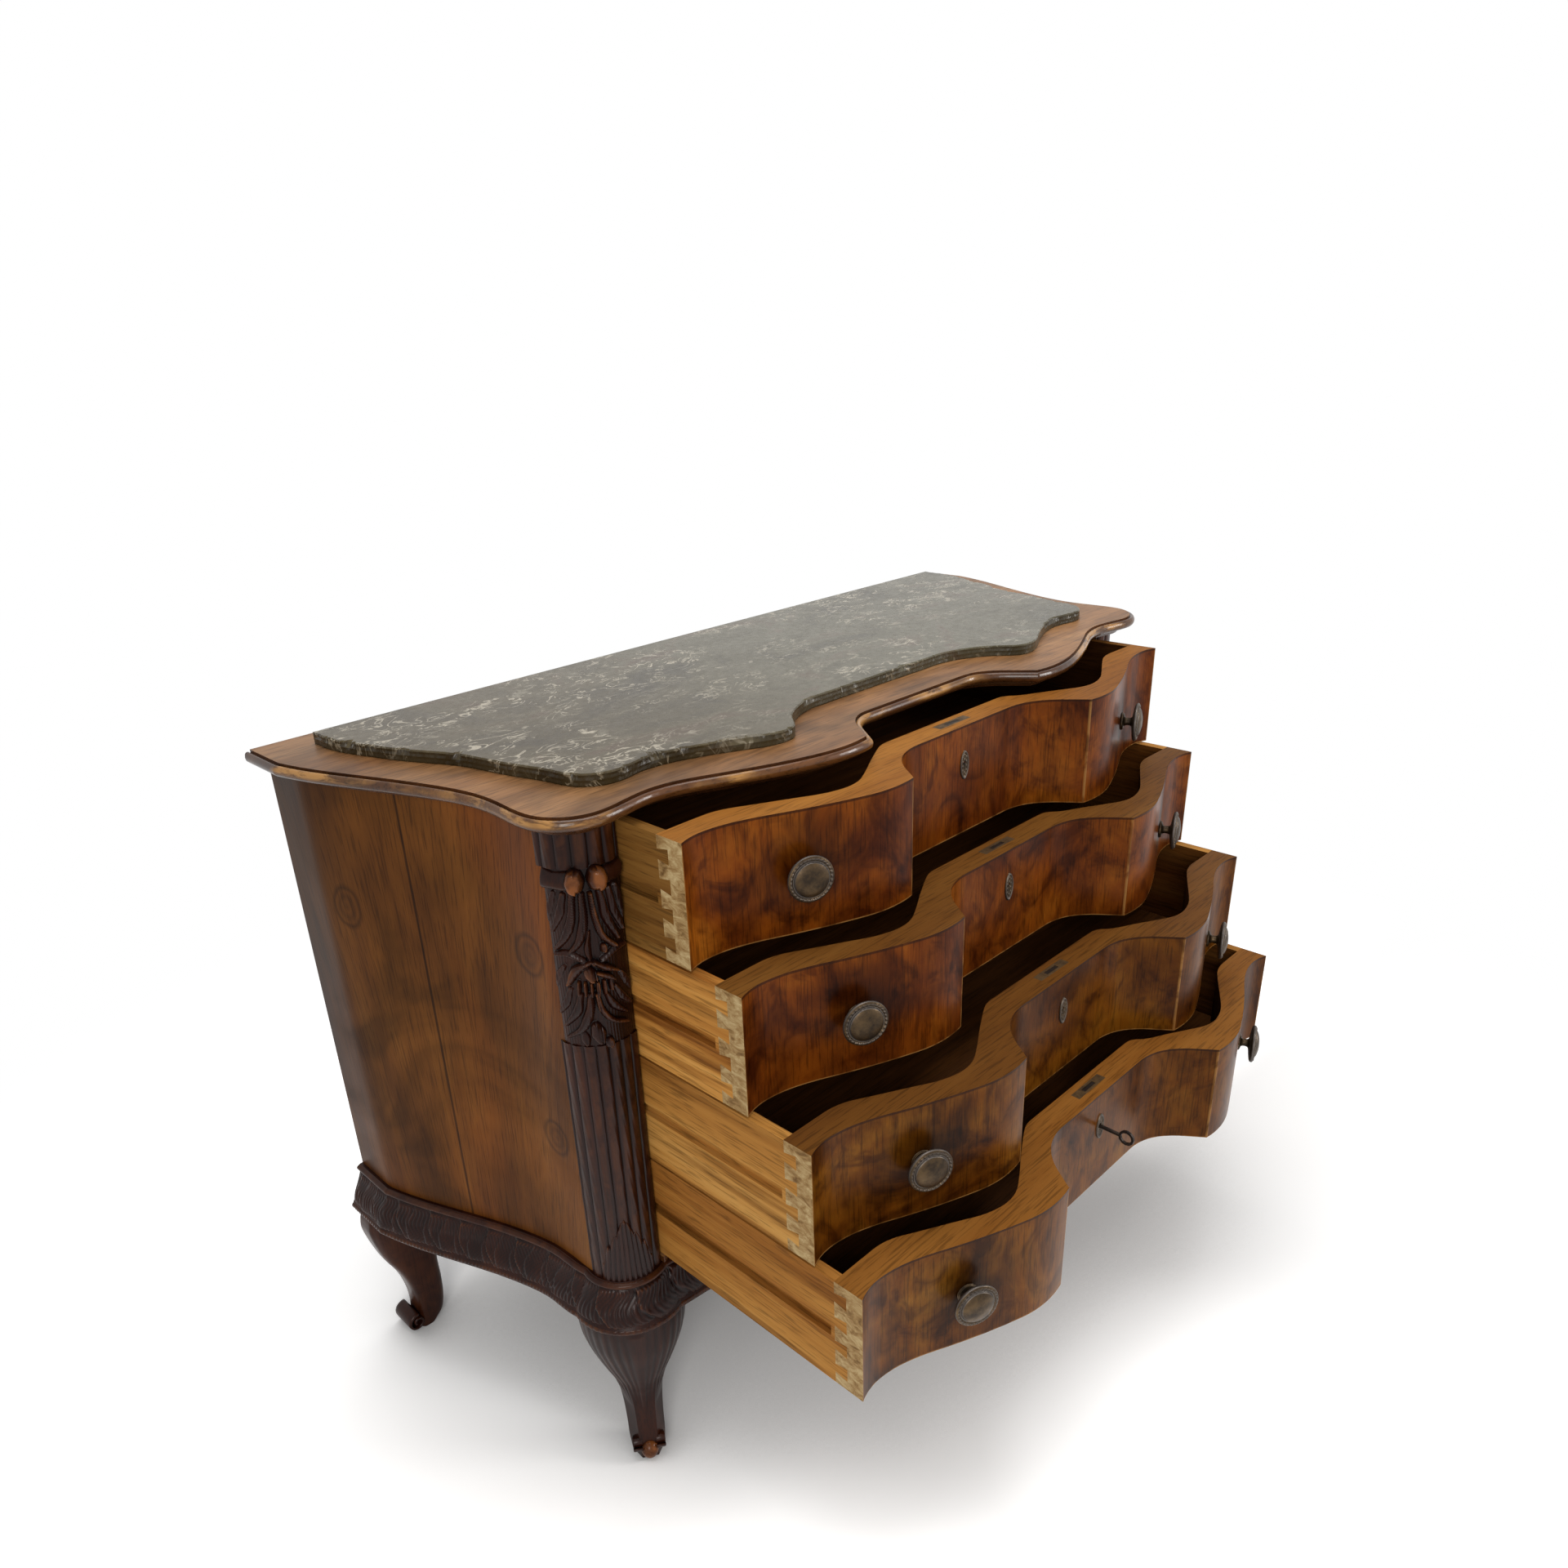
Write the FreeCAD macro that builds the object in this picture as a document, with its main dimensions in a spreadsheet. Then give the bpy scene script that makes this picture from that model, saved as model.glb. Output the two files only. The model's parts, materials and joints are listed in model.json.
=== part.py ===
"""Serpentine chest of drawers: walnut carcass, four shaped drawers, marble slab.

Millimetres, +Z up, the front faces -Y, X runs along the width.  The origin is on
the floor, midway between the sides and midway between the back and the front.
Every shape is written for the closed chest; a drawer is then drawn out by its own
distance.
"""
import FreeCAD, Part
import math
import os

import Sketcher
from FreeCAD import Placement, Rotation, Vector

os.makedirs("parts", exist_ok=True)
doc = FreeCAD.newDocument("serpentine_chest")

SIZES = {
    # carcass
    "side_swell": 89.5,
    "half_depth": 259.0,
    "leg_height": 218.0,
    "base_height": 62.0,
    "rail_reveal": 8.0,
    "side_thick": 20.0,
    "inner_side_thick": 18.0,
    "rear_post_width": 47.0,
    "rear_post_depth": 34.0,
    "back_thick": 10.0,
    "back_inset": 4.0,
    "back_board": 186.0,
    "back_groove": 2.5,
    "seat_play": 0.3,
    # canted corner posts, round about a vertical corner axis
    "corner_inset": 20.5,
    "corner_y": 143.0,
    "post_radius": 45.0,
    "post_step": 5.0,
    "flute_radius": 2.6,
    "flute_depth": 2.2,
    "flute_step_deg": 17.0,
    "carving_drop": 251.0,
    "carving_height": 213.0,
    "foot_leaf_height": 92.0,
    "leaf_relief": 9.0,
    # top
    "cornice_thick": 10.0,
    "nose_thick": 15.0,
    "overhang": 13.0,
    "nose_reach": 13.0,
    "corner_extra": 9.0,
    "marble_side_margin": 40.0,
    "marble_rear_margin": 47.0,
    "marble_thick": 14.0,
    # base moulding
    "bead_reach": 9.0,
    "flare_reach": 27.0,
    "bead_height": 8.0,
    "base_wall": 34.0,
    "base_rear_wall": 58.0,
    # serpentine front
    "drawer_half_width": 450.0,
    "front_step": 45.5,
    "lobe_depth": 62.0,
    "front_thick": 34.0,
    "arc_error": 1.0,
    # drawers
    "drawer_height": 137.0,
    "drawer_gap": 3.0,
    "side_play": 2.0,
    "side_board": 13.0,
    "back_board_thick": 13.0,
    "back_drop": 5.0,
    "panel_thick": 6.0,
    "panel_raise": 10.0,
    "panel_let_in": 5.0,
    "panel_play": 0.1,
    "tail_length": 16.0,
    "tail_root": 11.0,
    "tail_tip": 17.0,
    "tail_pitch": 32.0,
    "out_1": 90.5,
    "out_2": 161.0,
    "out_3": 246.0,
    "out_4": 308.0,
    # runners and their grooves
    "runner_height": 13.0,
    "runner_reach": 7.0,
    "runner_rise_play": 0.3,
    "runner_drop_play": 0.7,
    "groove_depth": 8.0,
    "groove_stop": 5.0,
    "runner_stop_play": 4.0,
    # knobs
    "knob_place": 316.0,
    "knob_radius": 25.5,
    "knob_length": 27.0,
    "knob_stud_width": 5.4,
    "knob_stud_length": 24.0,
    "stud_play": 0.3,
    # locks, escutcheons and key
    "keyhole_drop": 49.0,
    "escutcheon_height": 37.0,
    "escutcheon_width": 16.0,
    "escutcheon_thick": 1.6,
    "lock_half_width": 30.0,
    "lock_height": 62.0,
    "lock_thick": 12.0,
    "lock_inset": 8.5,
    "lock_wall": 1.5,
    "bolt_width": 24.0,
    "bolt_thick": 5.0,
    "bolt_length": 36.0,
    "bolt_throw": 8.0,
    "bolt_play": 0.3,
    "mortise_room": 2.0,
    "key_shaft_radius": 2.4,
    "key_bit_radius": 8.5,
    "key_bit_thick": 2.0,
    "key_ring_radius": 8.5,
    "key_wire_radius": 1.5,
    "key_reach": 36.0,
    "keyhole_play": 0.6,
    # legs
    "knee_radius": 64.0,
    "ankle_radius": 20.0,
    "front_sweep": 50.0,
    "leg_turn_deg": 57.0,
    "toe_radius": 13.0,
    "rear_leg_inset": 29.0,
    "rear_leg_width": 50.0,
    "knee_overhang": 19.0,
    "rear_knee_width": 84.0,
    # one overrun for every cut
    "overrun": 5.0,
}
# Sizes that follow from others, as formulas in the same sheet.
FOLLOWING = {
    "corner_x": "=drawer_half_width + side_play + corner_inset",
    "half_width": "=drawer_half_width + side_play + corner_inset + post_radius + side_swell",
    "post_back": "=corner_y + post_step",
    "front_centre": "=corner_y + front_step",
    "lock_place": "=corner_y + front_step - front_thick + lock_inset",
    "rear_knee_reach": "=half_width + knee_overhang",
    "marble_half_width": "=half_width - marble_side_margin",
    "marble_half_depth": "=half_depth - marble_rear_margin",
    "drawer_rear": "=half_depth - rear_post_depth",
    "rear_leg_y": "=half_depth - rear_leg_inset",
}
DRAWERS = (1, 2, 3, 4)
SIDES = {"left": -1, "right": 1}
TAILS = 4
FLUTES = 6
BACK_BOARDS = 5

sheet = doc.addObject("Spreadsheet::Sheet", "sizes")
for row, (alias, value) in enumerate({**SIZES, **FOLLOWING}.items(), start=1):
    sheet.set("A%d" % row, alias)
    sheet.set("B%d" % row, str(value))
    sheet.setAlias("B%d" % row, alias)
doc.recompute()


def size(alias):
    """A driving size, read from the sheet."""
    return float(sheet.get(alias))


# Heights and places that follow from the driving sizes.
BASE_TOP = size("leg_height") + size("base_height")
RAIL_TOP = BASE_TOP + size("rail_reveal")
PITCH = size("drawer_height") + size("drawer_gap")
CARCASS_TOP = RAIL_TOP + size("drawer_gap") + len(DRAWERS) * PITCH
WOOD_TOP = CARCASS_TOP + size("cornice_thick") + size("nose_thick")
OPENING = size("drawer_half_width") + size("side_play")
FRONT_BACK = size("front_centre") - size("front_thick")
SIDE_REAR = size("half_depth") - size("rear_post_depth")
DRAWER_INNER = size("drawer_half_width") - size("side_board")
GROOVE_HEIGHT = size("runner_height") + size("runner_rise_play") + size("runner_drop_play")
GROOVE_LOW = size("drawer_height") / 2 - GROOVE_HEIGHT / 2

# Outline points, written as shares of the sizes they follow, for the half at -X.
# The side: shares of the swell beyond the corner post and of the half depth.
SIDE_SHARES = (
    (1.0, 0.71), (0.797, 0.49), (0.464, 0.20), (0.247, 0.0),
    (0.105, -0.16), (0.027, -0.30), (0.013, -0.42),
)
# The round corner: angles about the corner axis, and how much of the extra
# overhang each point takes.
CORNER_SHARES = ((180.0, 0.4), (213.0, 1.0), (247.0, 1.0), (283.0, 0.4))
# The lobe of a drawer front, from its end to the sharp arris: shares of the
# drawer's half width and of the lobe's depth in front of the centre.
LOBE_SHARES = (
    (1.0, 0.045), (0.94, -0.055), (0.855, 0.035), (0.76, 0.315),
    (0.65, 0.66), (0.545, 0.92), (0.46, 1.03), (0.3935, 1.0),
)
# The cove from the arris back to the flat centre.
COVE_SHARES = ((0.3935, 1.0), (0.362, 0.68), (0.318, 0.31), (0.262, 0.065), (0.2, 0.0))
# The inner face of a drawer front: shares of the half width and the lobe's depth.
INNER_SHARES = (
    (0.87, 0.0), (0.80, 0.11), (0.70, 0.49), (0.61, 0.82), (0.53, 0.97),
    (0.46, 0.84), (0.385, 0.52), (0.30, 0.17), (0.23, 0.0),
)
# The marble slab: shares of its own half width and half depth.
MARBLE_SHARES = (
    (1.0, 0.97), (0.99, 0.72), (0.97, 0.556), (0.935, 0.307), (0.889, 0.042),
    (0.861, -0.274), (0.834, -0.53), (0.82, -0.67), (0.76, -0.78), (0.70, -0.76),
    (0.60, -0.80), (0.50, -0.92), (0.43, -1.0), (0.385, -0.99), (0.345, -0.88),
    (0.28, -0.76), (0.19, -0.71),
)
# Carved ornament on a corner post: shares of the relief and of its height.
CARVING_SHARES = (
    (0.35, 0.0), (0.8, 0.12), (0.6, 0.28), (1.4, 0.40), (1.4, 0.46), (0.6, 0.55), (0.9, 0.68),
    (0.6, 0.84), (1.6, 0.88), (1.7, 0.93), (1.6, 0.98), (0.6, 1.0),
)
FOOT_LEAF_SHARES = ((0.7, 0.0), (1.1, 0.25), (0.9, 0.6), (0.35, 1.0))
# Where the carving starts and how far it goes round the post, in degrees; how many
# ribs it has, and a valley's radius as a share of a rib's.
CARVING_TURN = (190.0, 100.0)
CARVING_RIBS = 6
VALLEY_SHARE = 0.975
# How far the first flute lies from the post's middle, in degrees.
FLUTE_FIRST = 47.0
# The base ring's corner is cut back by this share of the post's radius, so that
# the round boss stands out from it.
BASE_CORNER_SHARE = -0.35
# The base moulding from its lower to its upper edge.
BASE_SHARES = ((1.0, 0.0), (1.0, 0.12), (0.60, 0.42), (0.20, 0.86))
# Rounded nose of the top board and cove of the cornice board.
NOSE_SHARES = ((0.3, 0.0), (0.94, 0.22), (1.0, 0.52), (0.76, 0.85), (0.1, 1.0))
CORNICE_SHARES = ((0.15, 0.0), (0.40, 0.40), (1.0, 0.78), (1.0, 1.0))
# Front leg sections: height share, shares of the knee's and of the ankle's radius
# that add up to the section's, and how far the section has swept out.
FRONT_LEG_SHARES = (
    (1.0, 1.0, 0.0, 0.0), (0.90, 0.98, 0.0, 0.01), (0.78, 0.87, 0.0, 0.06),
    (0.66, 0.66, 0.0, 0.15), (0.56, 0.36, 0.34, 0.26), (0.46, 0.12, 0.84, 0.39),
    (0.32, 0.0, 1.0, 0.58), (0.17, 0.0, 0.98, 0.73), (0.0, 0.0, 0.98, 0.88),
)
# How many carved faces a front leg has.
LEG_FACES = 12
# Outer and inner edge of a rear leg, from the top down: how far each point lies
# inward of the knee's reach, as a share of the knee's width, and its height share.
REAR_OUTER_SHARES = (
    (0.0, 1.0), (-0.07, 0.90), (0.02, 0.76), (0.17, 0.61), (0.31, 0.45), (0.385, 0.30),
    (0.38, 0.16), (0.36, 0.0),
)
REAR_INNER_SHARES = (
    (0.68, 0.0), (0.84, 0.08), (0.91, 0.20), (0.93, 0.36), (0.92, 0.52), (0.96, 0.74), (1.0, 1.0),
)
# Toe rolls: the front one's half length as a share of the ankle's radius, the rear
# one's radius as a share of the front one's, and how far each roll's axis lies
# beyond the foot, as a share of the roll's radius.
FRONT_ROLL_SHARE = 0.9
REAR_TOE_SHARE = 1.2
FRONT_TOE_OUT_SHARE = 0.5
REAR_TOE_OUT_SHARE = 0.4
# A turned knob: radius and distance from the drawer front, as shares.
KNOB_SHARES = (
    (0.0, 0.0), (0.43, 0.0), (0.43, 0.09), (0.22, 0.09), (0.22, 0.64), (1.0, 0.64), (1.0, 1.0),
    (0.0, 1.0),
)
# How many flats a small round bar or hole has, and a pointed oval plate: shares of
# its half width and half height.
ROUND_FACES = 12
OVAL_SHARES = ((0.0, 1.0), (0.42, 0.72), (0.80, 0.36), (1.0, 0.0), (0.80, -0.36), (0.42, -0.72))


def curve_through(points, first=None, last=None):
    """A smooth curve through points, with given end directions if any."""
    curve = Part.BSplineCurve()
    if first is None:
        curve.interpolate(points)
    else:
        curve.interpolate(Points=points, InitialTangent=first, FinalTangent=last)
    return curve


def arcs_along(curve):
    """Edges of the tangent arcs that follow a curve."""
    return [arc.toShape() for arc in curve.toBiArcs(size("arc_error"))]


def mirrored(points):
    """The same points on the +X side, in reverse order."""
    return [Vector(-p.x, p.y, p.z) for p in reversed(points)]


def turned(vector, degrees):
    """A plan vector turned about Z."""
    return Rotation(Vector(0, 0, 1), degrees).multVec(vector)


def lobe_points():
    """Outer lobe of a drawer front, closed position, from its end to the arris."""
    return [
        Vector(-x * size("drawer_half_width"), -size("front_centre") - y * size("lobe_depth"), 0)
        for x, y in LOBE_SHARES
    ]


def cove_points():
    """Cove between the arris and the flat centre of a drawer front."""
    return [
        Vector(-x * size("drawer_half_width"), -size("front_centre") - y * size("lobe_depth"), 0)
        for x, y in COVE_SHARES
    ]


def flank_points(offset, extra):
    """Side, round corner and lobe of the carcass, moved out by an offset."""
    base = size("corner_x") + size("post_radius")
    points = [
        Vector(-base - x * size("side_swell"), y * size("half_depth"), 0) for x, y in SIDE_SHARES
    ]
    reach = [offset] * len(points)
    for angle, share in CORNER_SHARES:
        arm = Vector(math.cos(math.radians(angle)), math.sin(math.radians(angle)), 0)
        points.append(Vector(-size("corner_x"), -size("corner_y"), 0) + arm * size("post_radius"))
        reach.append(offset + extra * share)
    lobe = lobe_points()[1:]
    points += lobe
    reach += [offset] * len(lobe)
    curve = curve_through(points)
    cove = curve_through(cove_points())
    moved = []
    for point, out in zip(points, reach):
        along = Vector(*curve.tangent(curve.parameter(point))[0])
        normal = turned(along, -90)
        if point is points[-1]:
            other = turned(Vector(*cove.tangent(cove.FirstParameter)[0]), -90)
            normal = (normal + other) / (1 + normal.dot(other))
        moved.append(point + normal * out)
    moved[0].y = points[0].y
    return moved


def outline(offset, height, extra=0.0):
    """Closed plan outline of the carcass, moved out by an offset, at a height."""
    up = Vector(0, 0, height)
    flank = [p + up for p in flank_points(offset, extra)]
    cove_base = cove_points()
    cove_curve = curve_through(cove_base)
    cove = [flank[-1]]
    for point in cove_base[1:]:
        normal = turned(Vector(*cove_curve.tangent(cove_curve.parameter(point))[0]), -90)
        cove.append(point + normal * offset + up)
    cove[-1] = Vector(cove_base[-1].x, cove_base[-1].y - offset, height)
    rear = Vector(flank[0].x, size("half_depth"), height)
    along = Vector(1, 0, 0)
    edges = [Part.LineSegment(rear, flank[0]).toShape()]
    edges.append(curve_through(flank).toShape())
    cove_out = cove[1] - cove[0]
    edges.append(curve_through(cove, cove_out.normalize(), along).toShape())
    edges.append(Part.LineSegment(cove[-1], mirrored(cove)[0]).toShape())
    cove_back = mirrored(cove)
    cove_in = cove_back[-1] - cove_back[-2]
    edges.append(curve_through(cove_back, along, cove_in.normalize()).toShape())
    edges.append(curve_through(mirrored(flank)).toShape())
    edges.append(Part.LineSegment(mirrored(flank)[-1], mirrored([rear])[0]).toShape())
    edges.append(Part.LineSegment(mirrored([rear])[0], rear).toShape())
    return Part.Wire(edges)


def prism(wire, height):
    """Solid between a flat closed wire and the same wire, raised by a height."""
    raised = wire.copy()
    raised.translate(Vector(0, 0, height))
    return Part.makeLoft([wire, raised], True, True)


def stacked(levels, extra=0.0):
    """Moulded solid through carcass outlines, each level an offset and a height."""
    wires = [outline(offset, height, extra) for offset, height in levels]
    return Part.makeLoft(wires, True, True)


def flat_face(corners):
    """Flat face inside a closed polygon."""
    return Part.Face(Part.makePolygon(corners + corners[:1]))


def faceted_solid(rings):
    """Solid of flat facets between rings of corners, each ring like the last but scaled."""
    faces = [flat_face(rings[0]), flat_face(rings[-1])]
    for below, above in zip(rings, rings[1:]):
        for index in range(len(below)):
            faces.append(flat_face([below[index - 1], below[index], above[index], above[index - 1]]))
    shell = Part.makeShell(faces)
    shell.sewShape()
    solid = Part.makeSolid(shell)
    if solid.Volume < 0:
        solid.reverse()
    return solid


def round_bar(radius, length, start, along):
    """Small round bar or hole, with a few flats, from a start along a direction."""
    turn = Rotation(Vector(0, 0, 1), along)
    arm = Vector(radius, 0, 0)
    step = 360 / ROUND_FACES
    corners = [start + turn.multVec(turned(arm, index * step)) for index in range(ROUND_FACES)]
    return flat_face(corners).extrude(along * length)


def block(low, high):
    """Rectangular solid between two corners."""
    span = high - low
    return Part.makeBox(span.x, span.y, span.z, low)


def add_shape(label, shape, place=None):
    """Put a finished shape in the document under its own label."""
    feature = doc.addObject("Part::Feature", label)
    feature.Label = label
    feature.Shape = shape
    if place is not None:
        feature.Placement = place * feature.Placement
    return feature


def add_box(label, length, width, height, x, y, z):
    """A board whose sizes and place are all bound to the sheet."""
    box = doc.addObject("Part::Box", label)
    box.Label = label
    values = {
        "Length": length, "Width": width, "Height": height,
        "Placement.Base.x": x, "Placement.Base.y": y, "Placement.Base.z": z,
    }
    for key, text in values.items():
        box.setExpression(key, text)
    return box


# Expression texts for heights that several bound pieces share.
TEXT_BASE_TOP = "(sizes.leg_height + sizes.base_height)"
TEXT_RAIL_TOP = "(%s + sizes.rail_reveal)" % TEXT_BASE_TOP
TEXT_PITCH = "(sizes.drawer_height + sizes.drawer_gap)"
TEXT_TOP = "(%s + sizes.drawer_gap + %d * %s)" % (TEXT_RAIL_TOP, len(DRAWERS), TEXT_PITCH)
TEXT_OPENING = "(sizes.drawer_half_width + sizes.side_play)"
TEXT_GROOVE = "(sizes.runner_height + sizes.runner_rise_play + sizes.runner_drop_play)"


def drawer_z_text(number):
    """Height of a drawer's lower edge, as an expression."""
    below = len(DRAWERS) - number
    return "%s + sizes.drawer_gap + %d * %s" % (TEXT_RAIL_TOP, below, TEXT_PITCH)


def drawer_z(number):
    """Height of a drawer's lower edge."""
    return RAIL_TOP + size("drawer_gap") + (len(DRAWERS) - number) * PITCH


def drawer_place(number):
    """Where a drawer stands, drawn out."""
    return Placement(Vector(0, -size("out_%d" % number), drawer_z(number)), Rotation())


def bind_drawer(body, number):
    """Bind a body's place to its drawer."""
    body.setExpression("Placement.Base.y", "-sizes.out_%d" % number)
    body.setExpression("Placement.Base.z", drawer_z_text(number))


def origin_plane(body, role):
    """One of a body's own origin planes."""
    return next(f for f in body.Origin.OriginFeatures if f.Role == role)


def sketch_polygon(body, label, role, corners, offset="0 mm"):
    """A closed polygon sketch whose corners are bound to expressions."""
    sketch = body.newObject("Sketcher::SketchObject", label)
    sketch.AttachmentSupport = (origin_plane(body, role), [""])
    sketch.MapMode = "FlatFace"
    sketch.setExpression("AttachmentOffset.Base.z", offset)
    count = len(corners)
    for index in range(count):
        start = Vector(index, index * index + 1, 0)
        after = (index + 1) % count
        end = Vector(after, after * after + 1, 0)
        sketch.addGeometry(Part.LineSegment(start, end), False)
    for index in range(count):
        sketch.addConstraint(Sketcher.Constraint("Coincident", index, 2, (index + 1) % count, 1))
    for index, (across, up) in enumerate(corners):
        for kind, text in (("DistanceX", across), ("DistanceY", up)):
            number = sketch.addConstraint(Sketcher.Constraint(kind, -1, 1, index, 1, 1.0))
            sketch.setExpression("Constraints[%d]" % number, text)
    return sketch


def rectangle(low_across, high_across, low_up, high_up):
    """Corner expressions of a rectangle."""
    return [
        (low_across, low_up), (high_across, low_up),
        (high_across, high_up), (low_across, high_up),
    ]


def pad(body, sketch, label, length):
    """A pad along the sketch's normal."""
    feature = body.newObject("PartDesign::Pad", label)
    feature.Profile = sketch
    feature.setExpression("Length", length)
    sketch.Visibility = False
    return feature


def pocket_both_ways(body, sketch, label, length):
    """A pocket that cuts half its length to each side of its sketch."""
    feature = body.newObject("PartDesign::Pocket", label)
    feature.Profile = sketch
    feature.Midplane = True
    feature.setExpression("Length", length)
    sketch.Visibility = False
    return feature


def repeat_up(body, feature, label, length, count):
    """Repeat a feature upwards."""
    pattern = body.newObject("PartDesign::LinearPattern", label)
    pattern.Originals = [feature]
    pattern.Direction = (next(f for f in body.Origin.OriginFeatures if f.Role == "Z_Axis"), [""])
    pattern.setExpression("Length", length)
    pattern.Occurrences = count
    body.Tip = pattern
    return pattern


# Top: marble slab on a nosed board, on a coved cornice board.

def make_marble():
    """Loose slab with its own serpentine outline."""
    points = [
        Vector(-x * size("marble_half_width"), y * size("marble_half_depth"), WOOD_TOP)
        for x, y in MARBLE_SHARES
    ]
    flank = curve_through(points)
    edges = [
        flank.toShape(),
        Part.LineSegment(points[-1], mirrored(points)[0]).toShape(),
        curve_through(mirrored(points)).toShape(),
        Part.LineSegment(mirrored(points)[-1], points[0]).toShape(),
    ]
    add_shape("marble_slab", prism(Part.Wire(edges), size("marble_thick")))


def make_top():
    """Top board with a rounded nose over a cornice board with a coved edge."""
    over, nose, thick = size("overhang"), size("nose_reach"), size("nose_thick")
    low = CARCASS_TOP + size("cornice_thick")
    levels = [(over + nose * reach, low + thick * rise) for reach, rise in NOSE_SHARES]
    add_shape("top_board", stacked(levels, size("corner_extra")))
    levels = [
        (over * reach, CARCASS_TOP + size("cornice_thick") * rise)
        for reach, rise in CORNICE_SHARES
    ]
    cornice = stacked(levels, size("corner_extra"))
    cornice = cornice.cut(bolt_mortise(CARCASS_TOP))
    add_shape("cornice_board", cornice)


def bolt_mortise(height):
    """Hole above a lock that takes its thrown bolt."""
    play = size("bolt_play")
    half = size("bolt_width") / 2 + play
    middle = -size("lock_place") - size("lock_thick") / 2
    reach = size("bolt_thick") / 2 + play
    depth = size("bolt_throw") - size("drawer_gap") + size("mortise_room")
    return block(
        Vector(-half, middle - reach, height - size("overrun")),
        Vector(half, middle + reach, height + depth),
    )


# Carcass: sides, posts, back, bottom and the boards that carry the runners.

def make_side_panels():
    """Shaped side panels between the corner posts and the rear posts."""
    high = CARCASS_TOP - BASE_TOP
    shell = prism(outline(0.0, BASE_TOP), high).cut(
        prism(outline(-size("side_thick"), BASE_TOP), high)
    )
    reach = size("half_width") + size("overrun")
    for side, sign in SIDES.items():
        near, far = sorted((sign * OPENING, sign * reach))
        span = block(
            Vector(near, -size("post_back"), BASE_TOP), Vector(far, SIDE_REAR, CARCASS_TOP)
        )
        add_shape("side_panel_" + side, shell.common(span))


def make_inner_sides():
    """Straight inner boards beside the drawers, on the bottom board."""
    for side, sign in SIDES.items():
        left = "-%s - sizes.inner_side_thick" % TEXT_OPENING if sign < 0 else TEXT_OPENING
        add_box(
            "inner_side_" + side,
            "sizes.inner_side_thick",
            "sizes.post_back + sizes.half_depth - sizes.rear_post_depth",
            "%s - %s" % (TEXT_TOP, TEXT_RAIL_TOP),
            left, "-sizes.post_back", TEXT_RAIL_TOP,
        )


def make_runners():
    """Four strips each side that the drawers hang and slide on."""
    reach = size("side_play") + size("runner_reach")
    for side, sign in SIDES.items():
        near, far = sorted((sign * OPENING, sign * (OPENING - reach)))
        strips = []
        for number in DRAWERS:
            low = drawer_z(number) + GROOVE_LOW + size("runner_drop_play")
            front = FRONT_BACK - size("groove_stop") - size("runner_stop_play")
            strips.append(block(
                Vector(near, -front, low),
                Vector(far, size("drawer_rear"), low + size("runner_height")),
            ))
        add_shape("runners_" + side, Part.makeCompound(strips))


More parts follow.
